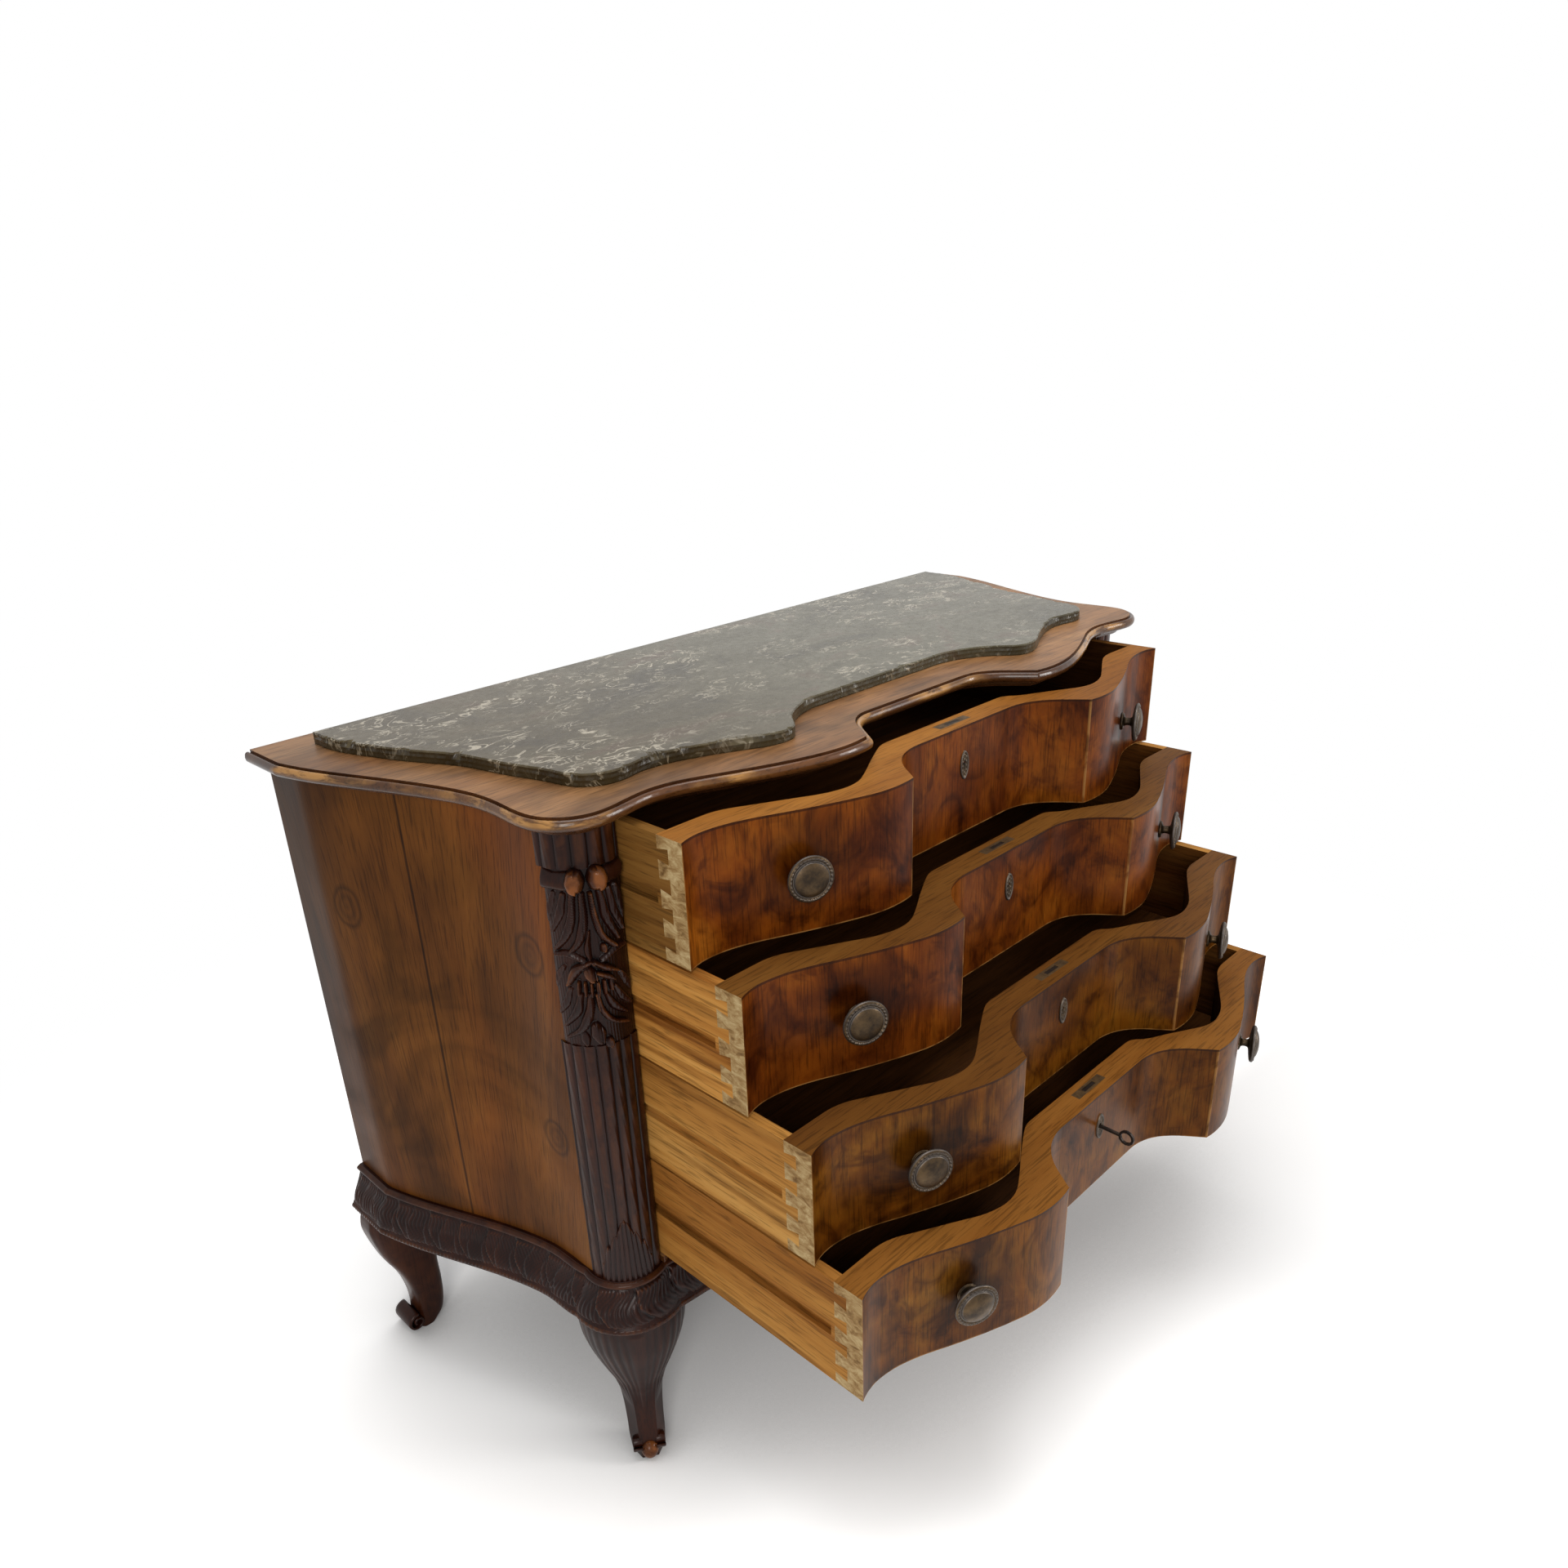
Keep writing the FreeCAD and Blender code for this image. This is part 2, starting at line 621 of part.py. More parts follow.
def make_corner_posts():
    """Round-faced corner posts with flutes, about the corner axis."""
    for side, sign in SIDES.items():
        body = doc.addObject("PartDesign::Body", "corner_post_" + side)
        body.Label = "corner_post_" + side
        body.setExpression("Placement.Base.x", "%d * sizes.corner_x" % sign)
        body.setExpression("Placement.Base.y", "-sizes.corner_y")
        body.setExpression("Placement.Base.z", TEXT_BASE_TOP)
        sketch = body.newObject("Sketcher::SketchObject", "post_plan_" + side)
        sketch.AttachmentSupport = (origin_plane(body, "XY_Plane"), [""])
        sketch.MapMode = "FlatFace"
        radius = size("post_radius")
        inner = size("corner_x") - OPENING
        back = size("post_back") - size("corner_y")
        outer_corner = Vector(sign * math.sqrt(radius ** 2 - back ** 2), -back, 0)
        inner_corner = Vector(-sign * inner, -math.sqrt(radius ** 2 - inner ** 2), 0)
        back_corner = Vector(-sign * inner, -back, 0)
        front = Vector(0, -radius, 0)
        sketch.addGeometry(Part.Arc(outer_corner, front, inner_corner), False)
        sketch.addGeometry(Part.LineSegment(inner_corner, back_corner), False)
        sketch.addGeometry(Part.LineSegment(back_corner, outer_corner), False)
        ends = (2, 1) if sign > 0 else (1, 2)
        sketch.addConstraint(Sketcher.Constraint("Coincident", 0, 3, -1, 1))
        sketch.addConstraint(Sketcher.Constraint("Coincident", 1, 2, 2, 1))
        sketch.addConstraint(Sketcher.Constraint("Coincident", 0, ends[1], 1, 1))
        sketch.addConstraint(Sketcher.Constraint("Coincident", 0, ends[0], 2, 2))
        sketch.addConstraint(Sketcher.Constraint("Vertical", 1))
        sketch.addConstraint(Sketcher.Constraint("Horizontal", 2))
        bound = (
            (Sketcher.Constraint("Radius", 0, radius), "sizes.post_radius"),
            (
                Sketcher.Constraint("DistanceX", -1, 1, 1, 2, back_corner.x),
                "%d * (sizes.corner_x - %s)" % (-sign, TEXT_OPENING),
            ),
            (
                Sketcher.Constraint("DistanceY", -1, 1, 1, 2, back_corner.y),
                "sizes.corner_y - sizes.post_back",
            ),
        )
        for constraint, text in bound:
            number = sketch.addConstraint(constraint)
            sketch.setExpression("Constraints[%d]" % number, text)
        high = "%s - %s" % (TEXT_TOP, TEXT_BASE_TOP)
        pad(body, sketch, "post_" + side, high)
        doc.recompute()
        flute = body.newObject("Sketcher::SketchObject", "flute_plan_" + side)
        flute.AttachmentSupport = (origin_plane(body, "XY_Plane"), [""])
        flute.MapMode = "FlatFace"
        first = math.radians(-90 + sign * FLUTE_FIRST)
        ring = size("post_radius") + size("flute_radius") - size("flute_depth")
        middle = Vector(math.cos(first), math.sin(first), 0) * ring
        flute.addGeometry(Part.Circle(middle, Vector(0, 0, 1), size("flute_radius")), False)
        turn = "sizes.post_radius + sizes.flute_radius - sizes.flute_depth"
        bound = (
            (Sketcher.Constraint("Radius", 0, size("flute_radius")), "sizes.flute_radius"),
            (
                Sketcher.Constraint("DistanceX", -1, 1, 0, 3, middle.x),
                "(%s) * %.6f" % (turn, math.cos(first)),
            ),
            (
                Sketcher.Constraint("DistanceY", -1, 1, 0, 3, middle.y),
                "(%s) * %.6f" % (turn, math.sin(first)),
            ),
        )
        for constraint, text in bound:
            number = flute.addConstraint(constraint)
            flute.setExpression("Constraints[%d]" % number, text)
        groove = pocket_both_ways(body, flute, "flute_" + side, "2 * (%s) + sizes.overrun" % high)
        doc.recompute()
        turns = body.newObject("PartDesign::PolarPattern", "flutes_" + side)
        turns.Originals = [groove]
        turns.Axis = (next(f for f in body.Origin.OriginFeatures if f.Role == "Z_Axis"), [""])
        turns.Reversed = sign < 0
        turns.setExpression("Angle", "sizes.flute_step_deg * %d" % (FLUTES - 1))
        turns.Occurrences = FLUTES
        body.Tip = turns


def ribbed_relief(shares, low, high):
    """Band of ribbed ornament round a post's face, about the corner axis at Z."""
    start, sweep = CARVING_TURN
    step = sweep / (2 * CARVING_RIBS)
    arms = [turned(Vector(1, 0, 0), start + index * step) for index in range(2 * CARVING_RIBS + 1)]
    inner = size("post_radius") / math.cos(math.radians(step / 2)) + size("seat_play")
    rings = []
    for out, rise in shares:
        up = Vector(0, 0, low + (high - low) * rise)
        reach = inner + size("leaf_relief") * out
        ring = [
            arm * reach * (1 if index % 2 else VALLEY_SHARE) + up for index, arm in enumerate(arms)
        ]
        rings.append(ring + [arm * inner + up for arm in reversed(arms)])
    return faceted_solid(rings)


def make_carvings():
    """Drooping leaf with its scroll roll, and the small leaf at the post's foot."""
    low = CARCASS_TOP - size("carving_drop")
    leaf = ribbed_relief(CARVING_SHARES, low, low + size("carving_height"))
    foot = ribbed_relief(FOOT_LEAF_SHARES, BASE_TOP, BASE_TOP + size("foot_leaf_height"))
    pair = Part.makeCompound([leaf, foot])
    pair.translate(Vector(-size("corner_x"), -size("corner_y"), 0))
    add_shape("carving_left", pair)
    add_shape("carving_right", pair.mirror(Vector(), Vector(1, 0, 0)))


def make_back():
    """Rear posts and a back of upright boards between them."""
    for side, sign in SIDES.items():
        left = "-sizes.half_width" if sign < 0 else "sizes.half_width - sizes.rear_post_width"
        add_box(
            "rear_post_" + side,
            "sizes.rear_post_width", "sizes.rear_post_depth",
            "%s - %s" % (TEXT_TOP, TEXT_BASE_TOP),
            left, "sizes.half_depth - sizes.rear_post_depth", TEXT_BASE_TOP,
        )
    body = doc.addObject("PartDesign::Body", "back_panel")
    body.Label = "back_panel"
    body.setExpression("Placement.Base.y", "sizes.half_depth - sizes.back_inset")
    body.setExpression("Placement.Base.z", TEXT_BASE_TOP)
    half = "sizes.half_width - sizes.rear_post_width"
    high = "%s - %s" % (TEXT_TOP, TEXT_BASE_TOP)
    board = sketch_polygon(
        body, "back_outline", "XZ_Plane", rectangle("-(%s)" % half, half, "0 mm", high)
    )
    pad(body, board, "back_boards", "sizes.back_thick")
    doc.recompute()
    first = "-%.1f * sizes.back_board" % (BACK_BOARDS / 2)
    joint = sketch_polygon(
        body, "back_joint", "XY_Plane",
        [
            (first + " - sizes.back_groove", "0 mm"),
            (first, "-sizes.back_groove"),
            (first + " + sizes.back_groove", "0 mm"),
        ],
    )
    groove = pocket_both_ways(body, joint, "back_groove_cut", "2 * (%s) + sizes.overrun" % high)
    doc.recompute()
    pattern = body.newObject("PartDesign::LinearPattern", "back_grooves")
    pattern.Originals = [groove]
    pattern.Direction = (next(f for f in body.Origin.OriginFeatures if f.Role == "X_Axis"), [""])
    pattern.setExpression("Length", "%d * sizes.back_board" % BACK_BOARDS)
    pattern.Occurrences = BACK_BOARDS + 1
    body.Tip = pattern


def front_edges():
    """Outer outline of a drawer front, closed position, from -X to +X."""
    lobe, cove = lobe_points(), cove_points()
    along = Vector(1, 0, 0)
    start = (cove[1] - cove[0]).normalize()
    back = mirrored(cove)
    stop = (back[-1] - back[-2]).normalize()
    edges = arcs_along(curve_through(lobe)) + arcs_along(curve_through(cove, start, along))
    edges.append(Part.LineSegment(cove[-1], back[0]).toShape())
    edges += arcs_along(curve_through(back, along, stop))
    return edges + arcs_along(curve_through(mirrored(lobe)))


def inner_edges(end_x, shift):
    """Inner outline of a drawer front, from +X to -X, moved forward by a shift."""
    points = [
        Vector(
            -x * size("drawer_half_width"),
            -FRONT_BACK - y * size("lobe_depth") - shift, 0,
        )
        for x, y in INNER_SHARES
    ]
    along = Vector(1, 0, 0)
    end = Vector(-end_x, points[0].y, 0)
    right = mirrored(points)
    edges = [Part.LineSegment(mirrored([end])[0], right[-1]).toShape()]
    edges += arcs_along(curve_through(list(reversed(right)), -along, -along))
    edges.append(Part.LineSegment(right[0], points[-1]).toShape())
    edges += arcs_along(curve_through(list(reversed(points)), -along, -along))
    return edges + [Part.LineSegment(points[0], end).toShape()]


def front_blank(height):
    """Block of a shaped drawer front before its joints are cut."""
    outer = front_edges()
    half = size("drawer_half_width")
    inner = inner_edges(half, 0)
    right = mirrored(lobe_points()[:1])[0]
    left = lobe_points()[0]
    edges = outer + [Part.LineSegment(right, Vector(half, -FRONT_BACK, 0)).toShape()]
    edges += inner + [Part.LineSegment(Vector(-half, -FRONT_BACK, 0), left).toShape()]
    return prism(Part.Wire(edges), height)


def make_bottom():
    """Bottom board on the base, and the shaped rail under the lowest drawer."""
    play = size("seat_play")
    reach = size("half_width")
    thick = size("rail_reveal")
    span = block(
        Vector(-reach, -size("post_back") + play, BASE_TOP),
        Vector(reach, SIDE_REAR - play, RAIL_TOP),
    )
    plan = outline(-size("side_thick") - play, BASE_TOP)
    add_shape("bottom_board", prism(plan, thick).common(span))
    left = lobe_points()[0]
    corner = Vector(-OPENING + play, left.y, 0)
    back = Vector(corner.x, -size("post_back"), 0)
    path = mirrored([back, corner, left]) + [back, corner, left]
    edges = front_edges()
    edges += [Part.LineSegment(a, b).toShape() for a, b in zip(path, path[1:])]
    rail = prism(Part.Wire(edges), thick)
    rail.translate(Vector(0, 0, BASE_TOP))
    add_shape("bottom_rail", rail)


def make_base():
    """Base moulding round the sides and the front, with a boss at each front corner."""
    low = size("leg_height")
    flare, bead = size("flare_reach"), size("bead_reach")
    levels = [(flare * out, low + size("base_height") * rise) for out, rise in BASE_SHARES]
    ball = size("bead_height") / 2
    levels += [(bead, BASE_TOP - ball), (bead / 2, BASE_TOP)]
    ring = stacked(levels, BASE_CORNER_SHARE * size("post_radius"))
    over = size("overrun")
    wall = -size("base_wall")
    hollow = stacked([(wall, low - over), (wall, BASE_TOP + over)])
    reach = size("half_width")
    inside = block(
        Vector(-reach, -size("half_depth") - over, low - over),
        Vector(reach, size("half_depth") - size("base_rear_wall"), BASE_TOP + over),
    )
    ring = ring.cut(hollow.common(inside))
    for sign in SIDES.values():
        points = [Vector(size("post_radius") + out, 0, high) for out, high in levels]
        profile = [Vector(0, 0, levels[0][1])] + points + [Vector(0, 0, levels[-1][1])]
        boss = flat_face(profile).revolve(Vector(), Vector(0, 0, 1), 360)
        boss.translate(Vector(sign * size("corner_x"), -size("corner_y"), 0))
        ring = ring.fuse(boss)
    add_shape("base_moulding", ring)


def faceted_ring(centre, along, radius):
    """Corners of a leg's section, with one arris on the given direction."""
    step = 360 / LEG_FACES
    return [centre + turned(along, index * step) * radius for index in range(LEG_FACES)]


def make_front_legs():
    """Front legs: round knee under the boss, slim ankle swept out to a scroll toe."""
    high = size("leg_height")
    knee, ankle = size("knee_radius"), size("ankle_radius")
    turn = math.radians(size("leg_turn_deg"))
    for side, sign in SIDES.items():
        way = Vector(sign * math.cos(turn), -math.sin(turn), 0)
        axis = Vector(sign * size("corner_x"), -size("corner_y"), 0)
        rings = []
        for rise, knee_share, ankle_share, swept in FRONT_LEG_SHARES:
            radius = knee * knee_share + ankle * ankle_share
            centre = axis + way * size("front_sweep") * swept + Vector(0, 0, high * rise)
            rings.append(faceted_ring(centre, way, radius))
        leg = faceted_solid(rings)
        toe = size("toe_radius")
        across = turned(way, 90)
        reach = ankle * FRONT_ROLL_SHARE
        foot = axis + way * (size("front_sweep") + toe * FRONT_TOE_OUT_SHARE) + Vector(0, 0, toe)
        roll = Part.makeCylinder(toe, reach * 2, foot - across * reach, across)
        add_shape("leg_front_" + side, leg.fuse(roll))


def make_rear_legs():
    """Rear legs: sideways cabriole cut from a plank, with a scroll toe, inside the back's plane."""
    high, width = size("leg_height"), size("rear_knee_width")
    half_depth = size("rear_leg_width") / 2
    front = size("rear_leg_y") - half_depth
    for side, sign in SIDES.items():
        outer, inner = [
            [
                Vector(sign * (size("rear_knee_reach") - width * across), front, high * rise)
                for across, rise in shares
            ]
            for shares in (REAR_OUTER_SHARES, REAR_INNER_SHARES)
        ]
        edges = arcs_along(curve_through(outer)) + arcs_along(curve_through(inner))
        edges.append(Part.LineSegment(outer[-1], inner[0]).toShape())
        edges.append(Part.LineSegment(inner[-1], outer[0]).toShape())
        profile = Part.Face(Part.Wire(Part.__sortEdges__(edges)))
        leg = profile.extrude(Vector(0, half_depth * 2, 0))
        toe = size("toe_radius") * REAR_TOE_SHARE
        heel = outer[-1].x + sign * toe * REAR_TOE_OUT_SHARE
        roll = Part.makeCylinder(toe, half_depth * 2, Vector(heel, front, toe), Vector(0, 1, 0))
        add_shape("leg_rear_" + side, leg.fuse(roll))


# Drawers. Each is built in its own frame: the closed chest's X and Y, and Z from
# the drawer's lower edge.

def tail_corners(root, tip):
    """Corners of the lowest dovetail between two Y places, as seen from the side."""
    middle = size("drawer_height") / 2 - (TAILS - 1) / 2 * size("tail_pitch")
    narrow, wide = size("tail_root") / 2, size("tail_tip") / 2
    return [
        Vector(0, root, middle - narrow), Vector(0, tip, middle - wide),
        Vector(0, tip, middle + wide), Vector(0, root, middle + narrow),
    ]


def sockets(root, tip):
    """Solids of all tails at one end of both sides, to cut out of the other board."""
    face = flat_face(tail_corners(root, tip))
    tools = []
    for sign in SIDES.values():
        start = sign * size("drawer_half_width")
        for index in range(TAILS):
            tool = face.extrude(Vector(-sign * size("side_board"), 0, 0))
            tool.translate(Vector(start, 0, index * size("tail_pitch")))
            tools.append(tool)
    return tools


def panel_solid(play):
    """The drawer's bottom panel, grown up and down by a play."""
    let_in = size("panel_let_in")
    half = DRAWER_INNER + let_in
    rear = size("drawer_rear") - size("back_board_thick") + let_in
    inner = inner_edges(half, let_in)
    front = -FRONT_BACK - let_in
    edges = inner + [
        Part.LineSegment(Vector(-half, front, 0), Vector(-half, rear, 0)).toShape(),
        Part.LineSegment(Vector(-half, rear, 0), Vector(half, rear, 0)).toShape(),
        Part.LineSegment(Vector(half, rear, 0), Vector(half, front, 0)).toShape(),
    ]
    panel = prism(Part.Wire(edges), size("panel_thick") + 2 * play)
    panel.translate(Vector(0, 0, size("panel_raise") - play))
    return panel


def knob_frame(sign):
    """Placement of a knob: its seat on the lobe, with Z pointing straight out of it."""
    place = -size("knob_place")
    for edge in arcs_along(curve_through(lobe_points())):
        first, last = edge.Vertexes
        if first.X <= place <= last.X:
            arc = edge
    centre, radius = arc.Curve.Center, arc.Curve.Radius
    bulge = math.copysign(1, arc.CenterOfMass.y - centre.y)
    seat = Vector(place, centre.y + bulge * math.sqrt(radius ** 2 - (place - centre.x) ** 2), 0)
    out = (centre - seat) * bulge / radius
    seat.z = size("drawer_height") / 2
    if sign > 0:
        seat, out = mirrored([seat])[0], mirrored([out])[0]
    return Placement(seat, Rotation(Vector(0, 0, 1), out))


def knob_stud(play):
    """Square stud of a knob, along -Z from its seat, grown by a play."""
    half = size("knob_stud_width") / 2 + play
    return block(
        Vector(-half, -half, -size("knob_stud_length") - play), Vector(half, half, size("overrun"))
    )


def keyhole_tool(front, rear, play):
    """Round hole with a slot below it, along Y, for the key's shaft and bit."""
    height = size("drawer_height") - size("keyhole_drop")
    shaft = size("key_shaft_radius") + play
    hole = round_bar(shaft, rear - front, Vector(0, front, height), Vector(0, 1, 0))
    half = size("key_bit_thick") / 2 + play
    slot = block(
        Vector(-half, front, height - size("key_bit_radius") - play), Vector(half, rear, height)
    )
    return hole.fuse(slot)


def make_front(number):
    """Shaped front with dovetail sockets, panel groove, lock mortise and holes."""
    high = size("drawer_height")
    over = size("overrun")
    front = front_blank(high)
    tools = sockets(-FRONT_BACK, -FRONT_BACK - size("tail_length"))
    tools.append(panel_solid(size("panel_play")))
    half, place, thick = size("lock_half_width"), size("lock_place"), size("lock_thick")
    tools.append(block(
        Vector(-half, -place - thick, high - size("lock_height")), Vector(half, -place, high + over)
    ))
    tools.append(keyhole_tool(-size("front_centre") - over, -place, size("keyhole_play")))
    if number < len(DRAWERS):
        tools.append(bolt_mortise(0))
    for sign in SIDES.values():
        hole = knob_stud(size("stud_play"))
        hole.Placement = knob_frame(sign)
        tools.append(hole)
    front = front.cut(tools)
    add_shape("drawer_%d_front" % number, front, drawer_place(number))


def make_side(number, side, sign):
    """Side board: dovetails at both ends, runner groove outside, panel groove inside."""
    label = "drawer_%d_side_%s" % (number, side)
    body = doc.addObject("PartDesign::Body", label)
    body.Label = label
    bind_drawer(body, number)
    tag = "_%d_%s" % (number, side)
    outer = "-sizes.drawer_half_width" if sign < 0 else "sizes.drawer_half_width"
    inner = "%d * (sizes.drawer_half_width - sizes.side_board)" % sign
    face = outer if sign < 0 else inner
    front = "-(sizes.front_centre - sizes.front_thick)"
    rear = "sizes.drawer_rear - sizes.back_board_thick"
    board = sketch_polygon(
        body, "board" + tag, "YZ_Plane",
        rectangle(front, rear, "0 mm", "sizes.drawer_height"), face,
    )
    pad(body, board, "board_pad" + tag, "sizes.side_board")
    doc.recompute()
    middle = "sizes.drawer_height / 2 - %.1f * sizes.tail_pitch" % ((TAILS - 1) / 2)
    ends = (
        ("front", front, "%s - sizes.tail_length" % front),
        ("rear", rear, "sizes.drawer_rear"),
    )
    for end, root, tip in ends:
        corners = [
            (root, "%s - sizes.tail_root / 2" % middle), (tip, "%s - sizes.tail_tip / 2" % middle),
            (tip, "%s + sizes.tail_tip / 2" % middle), (root, "%s + sizes.tail_root / 2" % middle),
        ]
        tail = sketch_polygon(body, "tail_" + end + tag, "YZ_Plane", corners, face)
        tail_pad = pad(body, tail, "tail_pad_" + end + tag, "sizes.side_board")
        doc.recompute()
        repeat_up(
            body, tail_pad, "tails_" + end + tag, "%d * sizes.tail_pitch" % (TAILS - 1), TAILS
        )
        doc.recompute()
    low = "sizes.drawer_height / 2 - %s / 2" % TEXT_GROOVE
    stop = "%s + sizes.groove_stop" % front
    runner = sketch_polygon(
        body, "runner_groove" + tag, "YZ_Plane",
        rectangle(
            stop, "sizes.drawer_rear + sizes.overrun", low, "%s + %s" % (low, TEXT_GROOVE)
        ),
        outer,
    )
    pocket_both_ways(body, runner, "runner_pocket" + tag, "2 * sizes.groove_depth")
    doc.recompute()
    slot = sketch_polygon(
        body, "panel_groove" + tag, "YZ_Plane",
        rectangle(
            "%s - sizes.panel_let_in" % front, "%s + sizes.panel_let_in" % rear,
            "sizes.panel_raise - sizes.panel_play",
            "sizes.panel_raise + sizes.panel_thick + sizes.panel_play",
        ),
        inner,
    )
    pocket_both_ways(body, slot, "panel_pocket" + tag, "2 * sizes.panel_let_in")
    doc.recompute()


def make_drawer_back(number):
    """Back board with dovetail sockets, panel groove and room for the runners."""
    half = size("drawer_half_width")
    rear = size("drawer_rear")
    root = rear - size("back_board_thick")
    board = block(
        Vector(-half, root, 0), Vector(half, rear, size("drawer_height") - size("back_drop"))
    )
    tools = sockets(root, rear) + [panel_solid(size("panel_play"))]
    for sign in SIDES.values():
        near, far = sorted((sign * (half - size("groove_depth")), sign * (half + size("overrun"))))
        tools.append(block(
            Vector(near, root - size("overrun"), GROOVE_LOW),
            Vector(far, rear + size("overrun"), GROOVE_LOW + GROOVE_HEIGHT),
        ))
    board = board.cut(tools)
    add_shape("drawer_%d_back" % number, board, drawer_place(number))


def make_knobs(number):
    """Turned metal knobs square to the lobes, each with a stud into the front."""
    radius, reach = size("knob_radius"), size("knob_length")
    profile = [Vector(radius * out, 0, reach * far) for out, far in KNOB_SHARES]
    whole = flat_face(profile).revolve(Vector(), Vector(0, 0, 1), 360).fuse(knob_stud(0))
    whole.translate(Vector(0, 0, size("seat_play")))
    pair = []
    for sign in SIDES.values():
        knob = whole.copy()
        knob.Placement = knob_frame(sign) * knob.Placement
        pair.append(knob)
    add_shape("drawer_%d_knobs" % number, Part.makeCompound(pair), drawer_place(number))


def make_escutcheon(number):
    """Pointed oval plate round the keyhole, on the flat centre of the front."""
    height = size("drawer_height") - size("keyhole_drop")
    half_width, half_height = size("escutcheon_width") / 2, size("escutcheon_height") / 2
    face_y = -size("front_centre")
    corners = [(x, y) for x, y in OVAL_SHARES] + [(-x, -y) for x, y in OVAL_SHARES]
    plate = flat_face([
        Vector(x * half_width, face_y, height + y * half_height) for x, y in corners
    ]).extrude(Vector(0, -size("escutcheon_thick"), 0))
    hole = keyhole_tool(face_y - size("overrun"), face_y + size("overrun"), size("keyhole_play"))
    add_shape("drawer_%d_escutcheon" % number, plate.cut(hole), drawer_place(number))


def lock_middle():
    """The middle of the lock's thickness."""
    return -size("lock_place") - size("lock_thick") / 2


def make_lock(number):
    """Mortised lock: case with a bolt channel, a key chamber and its entry."""
    high = size("drawer_height")
    half, thick = size("lock_half_width"), size("lock_thick")
    rear = -size("lock_place")
    front = rear - thick
    case = block(Vector(-half, front, high - size("lock_height")), Vector(half, rear, high))
    play = size("bolt_play")
    width, deep = size("bolt_width") / 2 + play, size("bolt_thick") / 2 + play
    channel = block(
        Vector(-width, lock_middle() - deep, high - size("bolt_length") - 2 * play),
        Vector(width, lock_middle() + deep, high + size("overrun")),
    )
    middle = Vector(0, lock_middle(), high - size("keyhole_drop"))
    room = size("key_bit_radius") + size("keyhole_play")
    span = Vector(room, thick / 2 - size("lock_wall"), room)
    chamber = block(middle - span, middle + span)
    entry = keyhole_tool(
        front - size("overrun"), front + size("lock_wall") * 2, size("keyhole_play")
    )
    case = case.cut([channel, chamber, entry])
    add_shape("drawer_%d_lock" % number, case, drawer_place(number))


def make_bolt(number):
    """Flat bolt that rises out of the lock."""
    label = "drawer_%d_bolt" % number
    add_box(
        label, "sizes.bolt_width", "sizes.bolt_thick", "sizes.bolt_length",
        "-sizes.bolt_width / 2",
        "-sizes.lock_place - sizes.lock_thick / 2 - sizes.bolt_thick / 2 - sizes.out_%d" % number,
        "%s + sizes.drawer_height - sizes.bolt_length - sizes.bolt_play" % drawer_z_text(number),
    )


def make_key(number):
    """Key in a drawer's lock: ring bow, shaft and bit."""
    height = size("drawer_height") - size("keyhole_drop")
    lock_front = -size("lock_place") - size("lock_thick")
    wall = size("lock_wall")
    bit_front = lock_front + wall + size("keyhole_play")
    bit_rear = -size("lock_place") - wall - size("keyhole_play")
    bow_y = -size("front_centre") - size("key_reach")
    shaft_end = bow_y + size("key_ring_radius")
    shaft = round_bar(
        size("key_shaft_radius"), bit_rear - shaft_end,
        Vector(0, shaft_end, height), Vector(0, 1, 0),
    )
    half = size("key_bit_thick") / 2
    bit = block(
        Vector(-half, bit_front, height - size("key_bit_radius")), Vector(half, bit_rear, height)
    )
    wire, bow = size("key_wire_radius"), size("key_ring_radius")
    centre = Vector(-wire, bow_y, height)
    disc, eye = (round_bar(bow + way * wire, wire * 2, centre, Vector(1, 0, 0)) for way in (1, -1))
    ring = disc.cut(eye)
    add_shape("key", shaft.fuse([bit, ring]), drawer_place(number))


make_marble()
make_top()
make_side_panels()
make_inner_sides()
make_runners()
make_corner_posts()
make_carvings()
make_back()
make_bottom()
make_base()
make_front_legs()
make_rear_legs()
for drawer in DRAWERS:
    make_front(drawer)
    for name, direction in SIDES.items():
        make_side(drawer, name, direction)
    make_drawer_back(drawer)
    add_shape("drawer_%d_bottom" % drawer, panel_solid(0), drawer_place(drawer))
    make_knobs(drawer)
    make_escutcheon(drawer)
    make_lock(drawer)
    make_bolt(drawer)
make_key(DRAWERS[-1])
doc.recompute()

PIECES = [
    "marble_slab", "top_board", "cornice_board", "back_panel", "bottom_board", "bottom_rail",
    "base_moulding", "key",
]
PAIRS = [
    "side_panel", "inner_side", "runners", "corner_post", "carving", "rear_post", "leg_front",
    "leg_rear",
]
PIECES += ["%s_%s" % (pair, side) for pair in PAIRS for side in SIDES]
DRAWER_PIECES = [
    "front", "side_left", "side_right", "back", "bottom", "knobs", "escutcheon", "lock", "bolt",
]
PIECES += ["drawer_%d_%s" % (drawer, piece) for drawer in DRAWERS for piece in DRAWER_PIECES]

for thing in doc.Objects:
    if "Invalid" in thing.State or "Error" in thing.State:
        raise RuntimeError("%s did not recompute: %s" % (thing.Label, thing.State))
for label in PIECES:
    shape = doc.getObjectsByLabel(label)[0].Shape
    if shape.isNull() or not shape.isValid():
        raise RuntimeError("%s has no valid shape" % label)
for label in PIECES:
    doc.getObjectsByLabel(label)[0].Shape.exportStep("parts/%s.step" % label)
print("%d pieces written" % len(PIECES))
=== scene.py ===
"""Looks for the serpentine chest of drawers: materials, carving, turned metal, light and camera.

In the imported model's frame: +X to the right, the front faces -Y, +Z up. Values are in metres,
or in millimetres where their name or their comment says so.
"""

import json
import math

import bmesh
import bpy
import numpy as np
from mathutils import Matrix, Vector, geometry, noise


